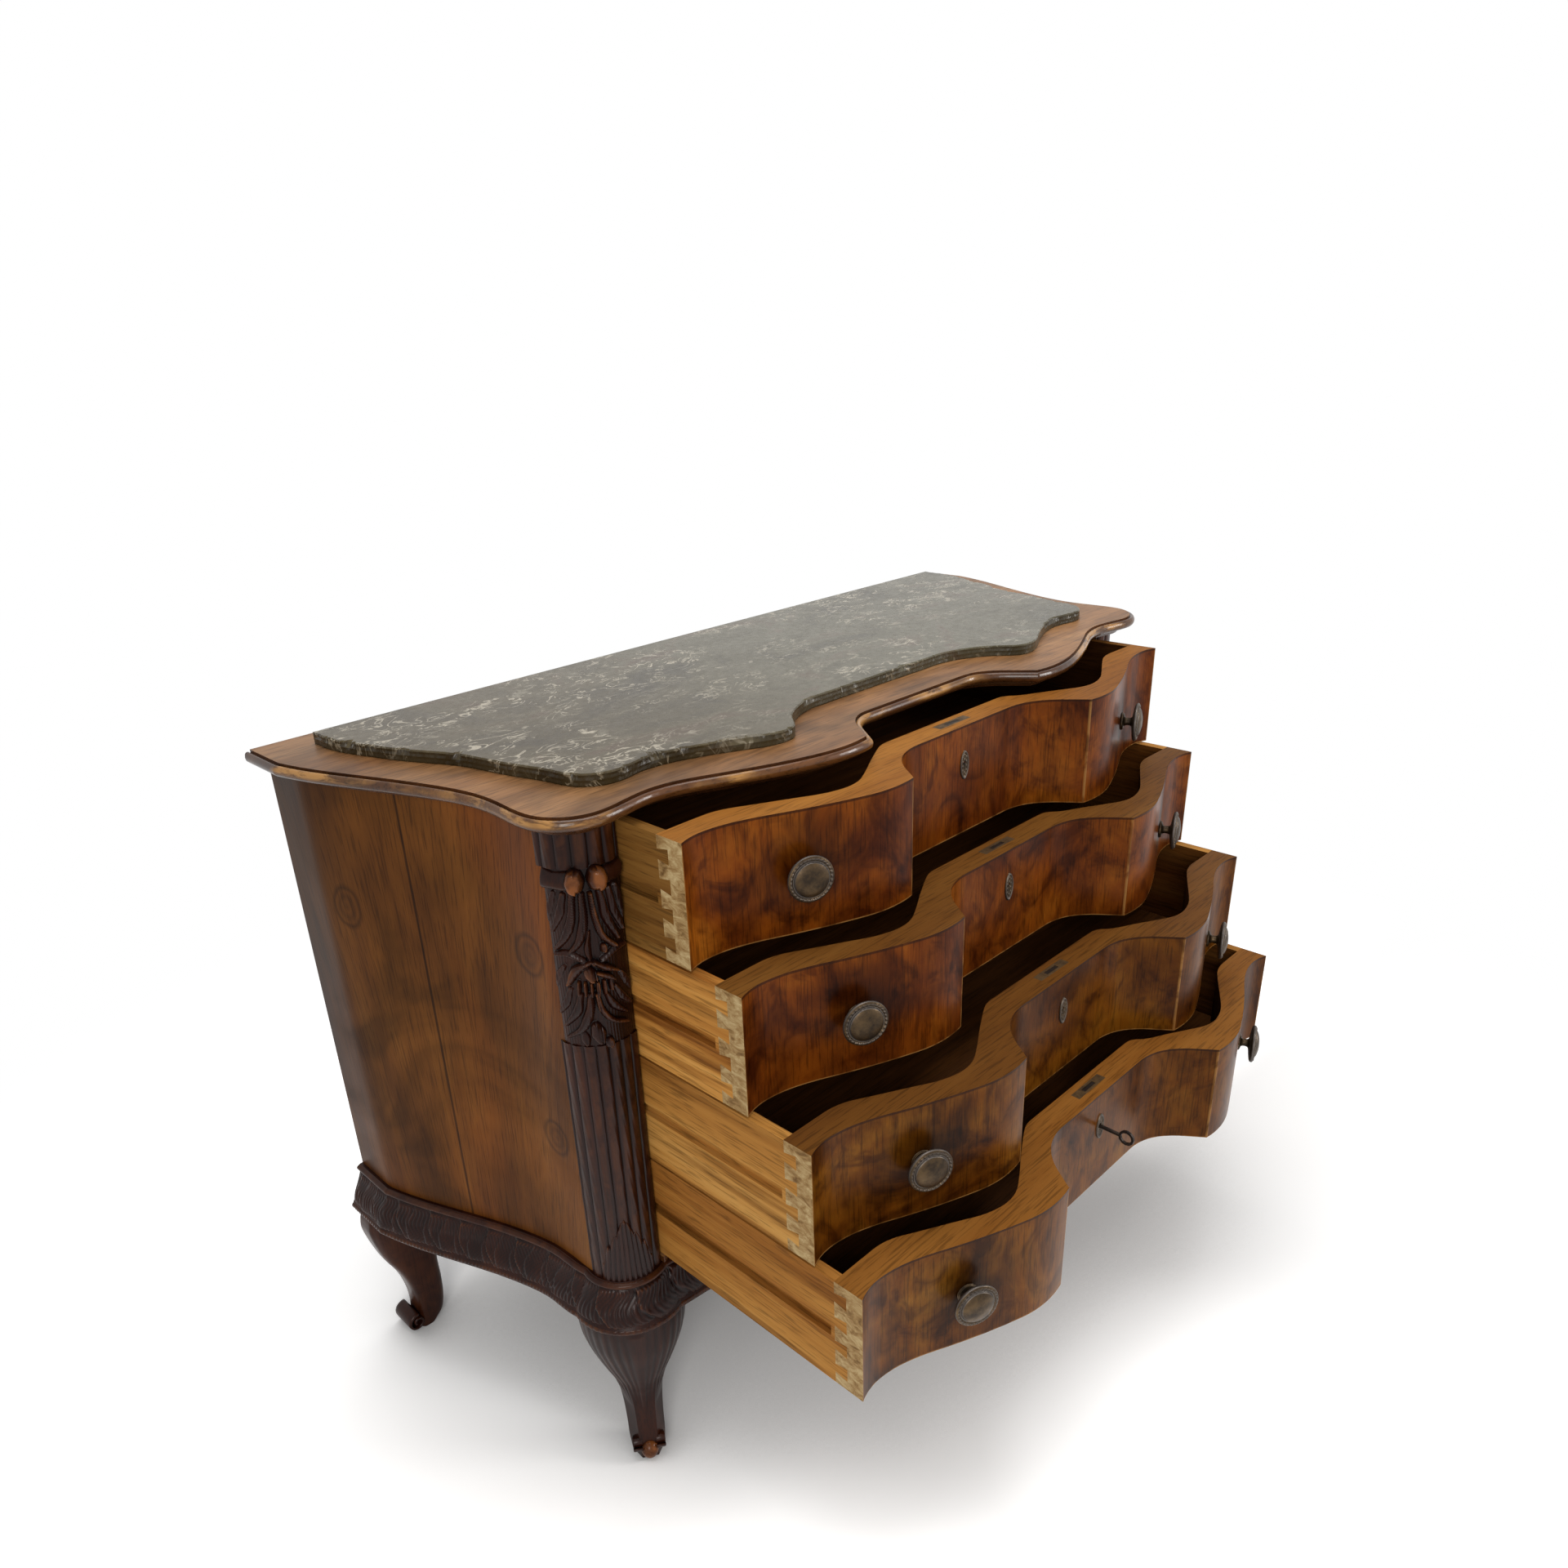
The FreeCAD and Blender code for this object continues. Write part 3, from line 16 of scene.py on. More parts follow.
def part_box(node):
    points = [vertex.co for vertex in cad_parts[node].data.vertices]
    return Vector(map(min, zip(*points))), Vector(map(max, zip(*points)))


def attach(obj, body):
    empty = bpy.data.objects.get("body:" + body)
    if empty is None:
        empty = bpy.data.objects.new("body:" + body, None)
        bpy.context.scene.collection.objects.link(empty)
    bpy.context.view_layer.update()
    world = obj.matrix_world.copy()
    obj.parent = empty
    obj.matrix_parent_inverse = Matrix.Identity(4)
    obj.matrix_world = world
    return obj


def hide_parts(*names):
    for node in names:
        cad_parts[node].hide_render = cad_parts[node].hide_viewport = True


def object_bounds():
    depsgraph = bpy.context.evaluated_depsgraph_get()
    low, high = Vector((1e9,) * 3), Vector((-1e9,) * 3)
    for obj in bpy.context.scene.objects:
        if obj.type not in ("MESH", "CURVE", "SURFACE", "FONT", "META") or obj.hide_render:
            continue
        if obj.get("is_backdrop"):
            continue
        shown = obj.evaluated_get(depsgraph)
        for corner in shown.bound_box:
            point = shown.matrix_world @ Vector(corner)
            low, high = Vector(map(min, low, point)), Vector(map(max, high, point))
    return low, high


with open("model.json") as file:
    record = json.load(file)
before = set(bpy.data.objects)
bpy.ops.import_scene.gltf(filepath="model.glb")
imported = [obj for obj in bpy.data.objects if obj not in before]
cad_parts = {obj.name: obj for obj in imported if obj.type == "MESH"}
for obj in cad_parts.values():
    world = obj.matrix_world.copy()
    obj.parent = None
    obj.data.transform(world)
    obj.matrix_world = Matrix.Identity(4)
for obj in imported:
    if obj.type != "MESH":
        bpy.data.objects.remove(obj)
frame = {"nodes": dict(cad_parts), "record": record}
cad_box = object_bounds()

DRAWERS = (1, 2, 3, 4)
SIDES = {"left": -1, "right": 1}

# Camera of the photograph.
CAMERA_PLACE = (-1.0851, -1.0454, 1.2695)
CAMERA_TURN_DEG = (64.97, -2.99, -43.376)
CAMERA_LENS_MM = 26.477
CAMERA_SENSOR_MM = 36.0
CAMERA_SHIFT = (0.02146, 0.06137)


# Shader building.

# Pores of every wood: scales across and along its grain, and their depth.
PORE_SCALE = (430.0, 22.0)
PORE_DEPTH = 0.0002


class Value:
    """What a node gives, for sums written as plain arithmetic."""

    def __init__(self, nodes, node, output):
        self.nodes, self.node, self.output = nodes, node, output

    def sum(self, kind, *others):
        """One step of arithmetic with other values."""
        return self.nodes.sum(kind, self, *others)

    def __add__(self, other):
        return self.sum("ADD", other)

    def __sub__(self, other):
        return self.sum("SUBTRACT", other)

    def __rsub__(self, other):
        return self.nodes.sum("SUBTRACT", other, self)

    def __mul__(self, other):
        return self.sum("MULTIPLY", other)

    def __truediv__(self, other):
        return self.sum("DIVIDE", other)

    def __abs__(self):
        return self.sum("ABSOLUTE")


class Nodes:
    """A node tree, filled and joined by short calls."""

    def __init__(self, tree):
        self.tree = tree

    def join(self, value, socket):
        """Link a value to a socket, or set the socket's own value."""
        if isinstance(value, Value):
            self.tree.links.new(value.node.outputs[value.output], socket)
        elif socket.type == "RGBA" and len(value) == 3:
            socket.default_value = (*value, 1.0)
        else:
            socket.default_value = value

    def add(self, kind, inputs=(), output=0, **settings):
        """A node with its inputs and settings; gives one of its outputs."""
        node = self.tree.nodes.new("ShaderNode" + kind)
        for key, value in settings.items():
            setattr(node, key, value)
        for key, value in dict(inputs).items():
            self.join(value, node.inputs[key])
        return Value(self, node, output)

    def sum(self, kind, *values):
        """One step of arithmetic."""
        return self.add("Math", enumerate(values), operation=kind)

    def seen(self):
        """1 for what the camera sees, straight or by way of gloss or glass."""
        path = self.add("LightPath").node
        camera, glossy, through = (
            Value(self, path, "Is %s Ray" % kind) for kind in ("Camera", "Glossy", "Transmission")
        )
        return camera.sum("MAXIMUM", glossy).sum("MAXIMUM", through)


class Shader(Nodes):
    """One material's nodes, with its surface and the places that patterns are read at."""

    def __init__(self, name):
        self.material = bpy.data.materials.new(name)
        self.material.use_nodes = True
        super().__init__(self.material.node_tree)
        self.surface = self.tree.nodes["Principled BSDF"]
        self.position = self.add("TexCoord", output="Object")
        self.normal = Value(self, self.position.node, "Normal")

    def parts(self, vector):
        """The three coordinates of a vector."""
        node = self.add("SeparateXYZ", {0: vector}).node
        return [Value(self, node, index) for index in range(3)]

    def distance(self, *gaps):
        """How far a spot is, from its gap along each axis."""
        vector = self.add("CombineXYZ", enumerate(gaps))
        return self.add("VectorMath", {0: vector}, "Value", operation="LENGTH")

    def noise(self, scale, detail, rough=0.55, warp=0, shift=(0, 0, 0), place=None):
        """Cloudy noise from 0 to 1; its scale is one number or three."""
        if isinstance(scale, (int, float)):
            scale = (scale,) * 3
        mapped = {"Vector": place or self.position, "Scale": scale, "Location": shift}
        values = {"Vector": self.add("Mapping", mapped), "Scale": 1, "Detail": detail}
        values.update({"Roughness": rough, "Distortion": warp})
        return self.add("TexNoise", values)

    def ramp(self, value, stops):
        """Colours or greys by value; each stop is a position and a colour."""
        made = self.add("ValToRGB", {"Fac": value})
        elements = made.node.color_ramp.elements
        while len(elements) < len(stops):
            elements.new(0.5)
        for element, (place, colour) in zip(elements, stops):
            element.position = place
            if isinstance(colour, (int, float)):
                colour = (colour,) * 3
            element.color = (*colour, 1.0)
        return made

    def mix(self, share, first, second, blend="MIX"):
        """Two colours mixed by a share."""
        inputs = {0: share, 6: first, 7: second}
        return self.add("Mix", inputs, 2, data_type="RGBA", blend_type=blend)

    def tint(self, colour, tone, share=1):
        """A colour multiplied by another, by a share."""
        return self.mix(share, colour, tone, "MULTIPLY")

    def step(self, value, low, high):
        """0 below low and 1 above high, smooth between."""
        values = {"Value": value, "From Min": low, "From Max": high}
        return self.add("MapRange", values, interpolation_type="SMOOTHSTEP")

    def worn(self):
        """How rubbed a spot is, as stored with the shape; below 0 its hollows get painted shade."""
        return self.add("Attribute", output="Fac", attribute_name="wear")

    def bump(self, height, distance, strength):
        """Bend the surface by a height, in metres at full scale."""
        values = {"Height": height, "Distance": distance, "Strength": strength}
        self.join(self.add("Bump", values), self.surface.inputs["Normal"])

    def wood(self, grain, stops, width, length, warp, shift=(0, 0, 0), place=None, bump=0,
             depth=PORE_DEPTH):
        """Colour of flowing wood: broad bands, streaks and pores along the grain."""
        broad, streak, pores = (
            self.noise([along if axis == grain else across for axis in "XYZ"], *look, shift, place)
            for across, along, *look in (
                (width * 0.3, length * 0.5, 3, 0.5, warp),
                (width * 2, length, 5, 0.62, warp * 0.4),
                (*PORE_SCALE, 2, 0.6, 0),
            )
        )
        self.figure = broad.sum("MULTIPLY_ADD", 0.52, streak * 0.48)
        if bump:
            self.bump(pores, depth, bump)
        return self.tint(self.ramp(self.figure, stops), self.ramp(pores, ((0.36, 0.60), (0.48, 1))))

    def finish(self, colour, roughness, specular=0.5, metallic=0):
        """Set the surface; gives the material."""
        names = ("Base Color", "Roughness", "Specular IOR Level", "Metallic")
        for name, value in zip(names, (colour, roughness, specular, metallic)):
            self.join(value, self.surface.inputs[name])
        return self.material


# Woods, from their dark to their light streaks: positions on the ramp and colours.
WALNUT_TOP = (
    (0.30, (0.105, 0.042, 0.014)), (0.46, (0.195, 0.090, 0.033)),
    (0.58, (0.270, 0.132, 0.051)), (0.74, (0.350, 0.186, 0.078)),
)
# The nose: the top's walnut darkened as painted shade, as it faces sideways and down.
WALNUT_NOSE = (
    (0.30, (0.020, 0.007, 0.002)), (0.46, (0.055, 0.020, 0.006)),
    (0.58, (0.098, 0.036, 0.010)), (0.74, (0.165, 0.064, 0.018)),
)
WALNUT_SIDE = (
    (0.30, (0.045, 0.015, 0.003)), (0.43, (0.096, 0.032, 0.006)),
    (0.55, (0.150, 0.052, 0.009)), (0.72, (0.215, 0.084, 0.016)),
)
CARVED_WALNUT = (
    (0.30, (0.007, 0.002, 0.001)), (0.48, (0.018, 0.004, 0.002)),
    (0.62, (0.040, 0.010, 0.004)), (0.76, (0.078, 0.020, 0.006)),
)
EDGE_WOOD = (
    (0.30, (0.110, 0.036, 0.006)), (0.48, (0.190, 0.070, 0.011)), (0.66, (0.270, 0.112, 0.021)),
)
BARE_WOOD = (
    (0.30, (0.160, 0.052, 0.009)), (0.42, (0.275, 0.108, 0.020)),
    (0.54, (0.400, 0.185, 0.041)), (0.72, (0.560, 0.315, 0.092)),
)
END_WOOD = (
    (0.30, (0.130, 0.066, 0.022)), (0.44, (0.300, 0.180, 0.070)),
    (0.56, (0.430, 0.300, 0.140)), (0.70, (0.560, 0.430, 0.230)),
)
# Inside of the fronts: dark wood, darkened further as painted shade inside the drawer.
SHADED_DARK_WOOD = ((0.32, (0.020, 0.008, 0.003)), (0.62, (0.075, 0.027, 0.007)))
INNER_WOOD = (
    (0.30, (0.020, 0.009, 0.004)), (0.50, (0.055, 0.023, 0.008)), (0.72, (0.100, 0.046, 0.016)),
)
# Drawer bottoms: dark wood, darkened further as painted shade inside the drawer.
SHADED_FLOOR_WOOD = (
    (0.30, (0.030, 0.011, 0.003)), (0.50, (0.110, 0.038, 0.008)), (0.70, (0.190, 0.072, 0.018)),
)
MARBLE_GROUND = (
    (0.30, (0.046, 0.037, 0.019)), (0.44, (0.080, 0.068, 0.037)), (0.56, (0.108, 0.096, 0.060)),
    (0.68, (0.100, 0.070, 0.042)), (0.80, (0.058, 0.052, 0.034)),
)
# The fronts' veneer by drawer; then how pale each front's upper edge and each drawer's
# bare wood is made, as painted light and shade by how each drawer is lit.
VENEER_STEPS = (0.30, 0.42, 0.52, 0.62, 0.75)
VENEERS = (
    ((0.020, 0.005, 0.001), (0.072, 0.015, 0.002), (0.155, 0.038, 0.003), (0.240, 0.070, 0.006),
     (0.350, 0.135, 0.015)),
    ((0.026, 0.006, 0.001), (0.082, 0.018, 0.002), (0.150, 0.037, 0.003), (0.215, 0.064, 0.006),
     (0.310, 0.122, 0.015)),
    ((0.022, 0.006, 0.001), (0.070, 0.020, 0.002), (0.120, 0.039, 0.003), (0.170, 0.064, 0.006),
     (0.250, 0.108, 0.014)),
    ((0.024, 0.008, 0.001), (0.074, 0.022, 0.002), (0.125, 0.041, 0.004), (0.175, 0.068, 0.008),
     (0.245, 0.110, 0.016)),
)
EDGE_LIGHTING = (1.35, 0.62, 0.62, 1.05)
SIDE_LIGHTING = (0.50, 1.30, 1.12, 1.10)

# Fronts: places across of the middle of the darkening round each knob, the arris and the end,
# how far that darkening sits above the middle, and where the rubbed rim and the veneer's joint fade.
KNOB_DARK_X = 0.310
ARRIS_X = 0.1771
FRONT_HALF_WIDTH = 0.450
KNOB_DARK_RISE = 0.010
RIM_FADE = (0.0018, 0.0006)
JOINT_FADE = (0.0034, 0.0022)

# Side veneer: where its two leaves meet, the level that its grain spreads below, its
# knots as places along Y and Z with their half widths, and the rings of each knot.
SEAM_Y = 0.055
SPREAD_LEVEL = 0.9
KNOTS = ((-0.103, 0.695, 0.024, 0.024), (-0.104, 0.457, 0.021, 0.022), (0.150, 0.700, 0.018, 0.024))
KNOT_RINGS = ((0.10, 0.55), (0.24, 0.90), (0.34, 0.66), (0.44, 0.95), (0.51, 0.50), (0.60, 1))


def relit(stops, age):
    """A wood's stops, made paler or darker, to paint light and shade."""
    return [(place, [age * share for share in colour]) for place, colour in stops]


def plain_wood(name, grain, stops, roughness, width, length, warp):
    """A wood that looks alike on all its faces."""
    shader = Shader(name)
    colour = shader.wood(grain, stops, width, length, warp, bump=0.35)
    shine = shader.ramp(shader.figure, ((0.3, roughness + 0.06), (0.7, roughness - 0.05)))
    return shader.finish(colour, shine, 0.14)


def make_nose_wood():
    """Rounded nose of the top: glossy, darker than the top as painted shade, rubbed to gold in long
    streaks, with painted shade in the quirk above it.
    """
    shader = Shader("walnut_nose")
    colour = shader.wood("X", WALNUT_NOSE, 22, 3, 0.8, bump=0.15)
    worn = shader.worn()
    rub = shader.noise((5.5, 5.5, 9), 3, 0.55, 0.5, (0.4, 2.2, 1))
    fine = shader.noise((30, 30, 130), 4, 0.65, 0.4)
    rub = shader.ramp(rub, ((0.48, 0), (0.58, 1))) * worn
    rub = rub * shader.ramp(fine, ((0.40, 0.1), (0.56, 1)))
    colour = shader.mix(rub * 0.85, colour, (0.440, 0.220, 0.062))
    # Painted shade in the quirk under the field's edge, where the value is below 0.
    colour = shader.mix(worn * -1, colour, (0.010, 0.006, 0.004))
    return shader.finish(colour, 0.22, 0.32)


def make_top_wood():
    """Top board: matt brown above, its upright edges darker as painted shade, and glossier."""
    shader = Shader("walnut_top")
    colour = shader.wood("X", WALNUT_TOP, 20, 2.6, 0.9, bump=0.3)
    cloud = shader.noise((6, 9, 6), 4, 0.6, 0.8, (1, 2, 0))
    colour = shader.tint(colour, shader.ramp(cloud, ((0.34, 0.55), (0.50, 0.95), (0.66, 1.35))))
    # Painted shade: the upright faces darker than the lit top.
    side = shader.step(abs(shader.parts(shader.normal)[2]), 0.93, 0.75)
    colour = shader.tint(colour, (0.30, 0.22, 0.18), side)
    return shader.finish(colour, shader.ramp(side, ((0, 0.42), (1, 0.24))), 0.20)


def make_side_veneer():
    """Book-matched walnut veneer: upright grain, smoky patches, a seam and knots, and painted shade
    darker and cooler towards the rear.
    """
    shader = Shader("walnut_side")
    x, y, z = shader.parts(shader.position)
    from_seam = abs(y - SEAM_Y)
    spread = (SPREAD_LEVEL - z) * from_seam
    folded = shader.add("CombineXYZ", {0: x, 1: from_seam + spread, 2: z})
    colour = shader.wood("Z", WALNUT_SIDE, 8.5, 2.4, 1.8, place=folded, bump=0.3)
    smoke = shader.noise((3.4, 3.4, 4.1), 3, 0.55, 1.4)
    shade = shader.ramp(smoke, ((0.34, (0.52, 0.54, 0.56)), (0.46, (0.84, 0.85, 0.84)), (0.60, 1)))
    colour = shader.tint(colour, shade)
    patch = shader.noise((4, 4, 2.6), 2, 0.5, 0.8, (3, 1, 2))
    gold = shader.step(z, 0.56, 0.32) * shader.ramp(patch, ((0.42, 0), (0.58, 0.75)))
    colour = shader.tint(colour, (1.35, 1.25, 0.90), gold)
    # Painted shade: darker and cooler towards the rear of the side.
    colour = shader.tint(colour, (0.38, 0.42, 0.52), shader.step(y, 0.12, 0.24))
    red = shader.noise((5, 5, 1.8), 2, 0.5, 0.8, (1, 4, 0.5))
    colour = shader.tint(colour, (1.35, 0.86, 0.62), shader.ramp(red, ((0.50, 0), (0.66, 0.4))))
    wobble = shader.noise(9, 3, 0.6)
    for knot_y, knot_z, half_y, half_z in KNOTS:
        gap = shader.distance((y - knot_y) / half_y, (z - knot_z) / half_z)
        gap = wobble.sum("MULTIPLY_ADD", 0.9, gap)
        colour = shader.tint(colour, shader.ramp(gap * 0.36, KNOT_RINGS))
    colour = shader.tint(colour, shader.ramp(from_seam * 100, ((0.08, 0.30), (0.22, 1))))
    return shader.finish(colour, shader.ramp(smoke, ((0.35, 0.46), (0.6, 0.36))), 0.06)


def make_front_wood(number):
    """Shaped front: figured veneer outside, solid edges, pale ends and a plain inside, dark wood with
    painted shade.
    """
    shader = Shader("burl_walnut_%d" % number)
    shift = (number * 1.7, number * 0.6, number * 2.3)
    low, high = (corner.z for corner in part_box("drawer_%d_front" % number))
    x, _, z = shader.parts(shader.position)
    stops = list(zip(VENEER_STEPS, VENEERS[number - 1]))
    veneer = shader.wood("Z", stops, 5.2, 4.6, 3.2, shift, bump=0.3)
    fine = shader.noise((13, 13, 10.5), 3, 0.52, 3.2, shift)
    swirl = shader.ramp(fine, ((0.34, (0.42, 0.35, 0.30)), (0.47, 0.94), (0.62, (1.18, 1.14, 1))))
    veneer = shader.tint(veneer, swirl, 0.75)
    cloud = shader.noise((8.5, 8.5, 7), 4, 0.6, 2, shift)
    shade = shader.ramp(cloud, ((0.34, (0.30, 0.22, 0.17)), (0.45, (0.78, 0.72, 0.66)), (0.56, 1)))
    veneer = shader.tint(veneer, shade, 0.9)
    # Darker round each knob, a little above the front's middle.
    halo = shader.distance(abs(x) - KNOB_DARK_X, z - ((low + high) / 2 + KNOB_DARK_RISE))
    halo = cloud.sum("MULTIPLY_ADD", 0.06, halo)
    veneer = shader.tint(veneer, shader.ramp(halo * 10, ((0.42, 0.24), (1, 1))), 0.85)
    ends = abs(abs(x) - ARRIS_X).sum("MINIMUM", FRONT_HALF_WIDTH - abs(x))
    rim = shader.step(ends.sum("MINIMUM", z - low), *RIM_FADE)
    rim = rim * shader.ramp(fine, ((0.42, 0.25), (0.56, 0.85)))
    veneer = shader.mix(rim, veneer, (0.290, 0.140, 0.040))
    joint = shader.step(high - z, *JOINT_FADE)
    veneer = shader.mix(joint * 0.75, veneer, (0.020, 0.006, 0.002))
    # Upper edge: paler or darker by drawer as painted light and shade.
    edge = shader.wood("X", relit(EDGE_WOOD, EDGE_LIGHTING[number - 1]), 12, 1.8, 0.6, shift)
    pale = shader.ramp(shader.noise((70, 55, 110), 5, 0.68, 0.6), END_WOOD)
    # The inside: dark wood with painted shade.
    inside = shader.wood("X", SHADED_DARK_WOOD, 25, 2, 0.8, shift)
    across, back, up = shader.parts(shader.normal)
    out_share = shader.step(back * -1, 0.02, 0.10)
    up_share = shader.step(abs(up), 0.7, 0.9)
    end_share = shader.step(abs(across), 0.985, 0.995)
    colour = shader.mix(out_share, inside, veneer)
    colour = shader.mix(end_share, colour, pale)
    colour = shader.mix(up_share, colour, edge)
    polish = out_share - up_share.sum("MAXIMUM", end_share)
    return shader.finish(colour, shader.ramp(polish, ((0, 0.55), (1, 0.28))), 0.07)


def make_drawer_wood(number):
    """Bare softwood of drawer sides and backs: pale and streaked outside, darkened inside as painted
    shade.
    """
    shader = Shader("drawer_wood_%d" % number)
    shift = (number * 0.9, number * 1.3, number * 0.7)
    # Paler or darker by drawer as painted light and shade.
    stops = relit(BARE_WOOD, SIDE_LIGHTING[number - 1])
    colour = shader.wood("Y", stops, 26, 1.5, 0.9, shift, bump=0.5, depth=0.0003)
    band = shader.noise((3, 2.2, 46), 2, 0.5, 0.6, shift)
    colour = shader.tint(colour, shader.ramp(band, ((0.36, (0.46, 0.38, 0.30)), (0.50, 1))), 0.8)
    # Painted shade on the faces inside the drawer.
    facing = shader.parts(shader.normal)[0] * shader.parts(shader.position)[0]
    colour = shader.tint(colour, (0.22, 0.17, 0.14), shader.step(facing, -0.1, -0.3))
    return shader.finish(colour, 0.62, 0.06)


def make_marble():
    """Honed grey-green marble with small cream curls and pale clouds; painted sheen and shade make it
    browner and darker to the left and on its upright edges.
    """
    shader = Shader("marble")
    colour = shader.ramp(shader.noise((6, 8, 6), 6, 0.62, 1.2), MARBLE_GROUND)
    # Painted shade and sheen: browner and darker to the left, paler to the right.
    left = shader.step(shader.parts(shader.position)[0], 0.10, -0.45)
    colour = shader.tint(colour, (0.70, 0.58, 0.40), left)
    grit = shader.noise(140, 4, 0.72)
    colour = shader.mix(0.22, colour, shader.ramp(grit, ((0.33, 0.25), (0.67, 0.75))), "OVERLAY")
    patches = shader.noise((5, 7.5, 5), 3, 0.6, 0.8, (2, 0.3, 0))
    share = shader.ramp(patches, ((0.40, 0.10), (0.58, 1)))
    for scale, width, shift, mask_scale in ((12, 0.026, 0, 19), (24, 0.036, 5, 33)):
        curl = shader.noise((scale, scale * 1.7, scale), 2, 0.5, 2.6, (shift, shift, 0))
        curl = shader.step(abs(curl - 0.5), width, width * 0.35)
        mask = shader.noise((mask_scale, mask_scale * 1.4, mask_scale), 2, 0.5, 0, (0, shift, 2))
        vein = curl * shader.step(mask, 0.51, 0.57) * share
        colour = shader.mix(vein * 0.9, colour, (0.42, 0.37, 0.28))
    cloud = shader.noise((24, 34, 24), 5, 0.7, 1, (7, 3, 1))
    cloud = shader.step(cloud, 0.56, 0.70) * share
    colour = shader.mix(cloud * 0.55, colour, (0.25, 0.22, 0.16))
    # Painted shade on the slab's upright edges.
    upright = shader.step(shader.parts(shader.normal)[2], 0.8, 0.3)
    colour = shader.tint(colour, (0.50, 0.46, 0.40), upright)
    shader.bump(grit, 0.00015, 0.2)
    return shader.finish(colour, shader.ramp(grit, ((0.3, 0.34), (0.7, 0.22))), 0.25)


def make_carved_wood():
    """Dark stained carving, rubbed to orange-brown on what stands proud, with painted shade in its
    hollows.
    """
    shader = Shader("carved_walnut")
    colour = shader.wood("Z", CARVED_WALNUT, 20, 4, 0.8, bump=0.15)
    worn = shader.worn()
    share = worn * shader.ramp(shader.noise(34, 4, 0.65, 0.6), ((0.40, 0.15), (0.62, 1)))
    colour = shader.mix(share, colour, (0.200, 0.064, 0.016))
    # Painted shade in the hollows, where the value is below 0.
    colour = shader.mix(worn * -1.6, colour, (0.003, 0.0015, 0.0015))
    return shader.finish(colour, shader.ramp(share, ((0, 0.30), (0.8, 0.20))), 0.16)


def make_metal(name, dark, light, rubbed, roughness):
    """Worn metal with a cloudy patina, bare where it is rubbed, with painted shade in its hollows such as
    the keyhole.
    """
    shader = Shader(name)
    cloud = shader.noise(70, 5, 0.65)
    worn = shader.worn()
    colour = shader.mix(worn, shader.ramp(cloud, ((0.35, dark), (0.65, light))), rubbed)
    # Painted shade in the hollows, where the value is below 0.
    colour = shader.mix(worn * -1, colour, (0.003, 0.002, 0.002))
    shader.bump(cloud, 0.0003, 0.3)
    shine = shader.ramp(cloud, ((0.3, roughness + 0.12), (0.7, roughness - 0.08)))
    return shader.finish(colour, shine, metallic=0.8)


# Metals: patina from dark to light, colour where rubbed, and roughness.
METALS = {
    "bronze": ((0.026, 0.017, 0.010), (0.084, 0.052, 0.024), (0.105, 0.092, 0.084), 0.42),
    "iron": ((0.012, 0.008, 0.006), (0.036, 0.026, 0.020), (0.090, 0.076, 0.062), 0.46),
    "lock_plate": ((0.060, 0.034, 0.014), (0.140, 0.085, 0.036), (0.140, 0.085, 0.036), 0.50),
}


def make_materials():
    """All finishes, by slot name; numbered ones belong to one drawer."""
    made = {
        "marble": make_marble(),
        "walnut_top": make_top_wood(),
        "walnut_nose": make_nose_wood(),
        "walnut_side": make_side_veneer(),
        "carved_walnut": make_carved_wood(),
        "inner_wood": plain_wood("inner_wood", "Y", INNER_WOOD, 0.70, 26, 1.5, 0.8),
        "drawer_floor": plain_wood("drawer_floor", "X", SHADED_FLOOR_WOOD, 0.60, 22, 1.6, 0.6),
    }
    made.update((name, make_metal(name, *look)) for name, look in METALS.items())
    for number in DRAWERS:
        made["burl_walnut_%d" % number] = make_front_wood(number)
        made["drawer_wood_%d" % number] = make_drawer_wood(number)
    return made


def paint():
    """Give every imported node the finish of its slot."""
    for entry in frame["record"]["subparts"]:
        name, finish = entry["node"], entry["material_slot"]
        if name.endswith("_bottom"):
            finish = "drawer_floor"
        elif name.endswith("_lock"):
            finish = "lock_plate"
        elif finish in ("burl_walnut", "drawer_wood"):
            finish += "_" + name.split("_")[1]
        mesh = frame["nodes"][name].data
        mesh.materials.clear()
        mesh.materials.append(finishes[finish])


# Shaping.

def smooth_path(points, count):
    """Points of a smooth curve that runs through the given ones."""
    points = np.array(points, float)
    padded = np.vstack([2 * points[0] - points[1], points, 2 * points[-1] - points[-2]])
    places = np.linspace(0, len(points) - 1, count)
    index = np.minimum(places.astype(int), len(points) - 2)
    share = (places - index)[:, None]
    a, b, c, d = (padded[index + k] for k in range(4))
    return 0.5 * (
        2 * b + (c - a) * share + (2 * a - 5 * b + 4 * c - d) * share ** 2
        + (3 * b - a - 3 * c + d) * share ** 3
    )


def slope(value, low, high):
    """0 up to low and 1 from high on, straight between; high may be the lower one."""
    return np.clip((value - low) / (high - low), 0, 1)


def soften(values, times):
    """Even out a run of values, but not its ends."""
    for _ in range(times):
        values[1:-1] = (values[:-2] + 2 * values[1:-1] + values[2:]) / 4


def full_turn(count):
    """Even angles all the way round."""
    return np.linspace(0, 2 * np.pi, count, endpoint=False)


def grid_points(x, y, z):
    """Points in metres from grids of places in millimetres."""
    return np.stack(np.broadcast_arrays(x, y, z), -1).reshape(-1, 3) / 1000


def grid_faces(rows, columns, closed=False, start=0):
    """Quads of a grid of vertices laid out row by row."""
    faces = []
    for row in range(rows - 1):
        for column in range(columns if closed else columns - 1):
            after = (column + 1) % columns
            low, high = start + row * columns, start + (row + 1) * columns
            faces.append((low + column, low + after, high + after, high + column))
    return faces


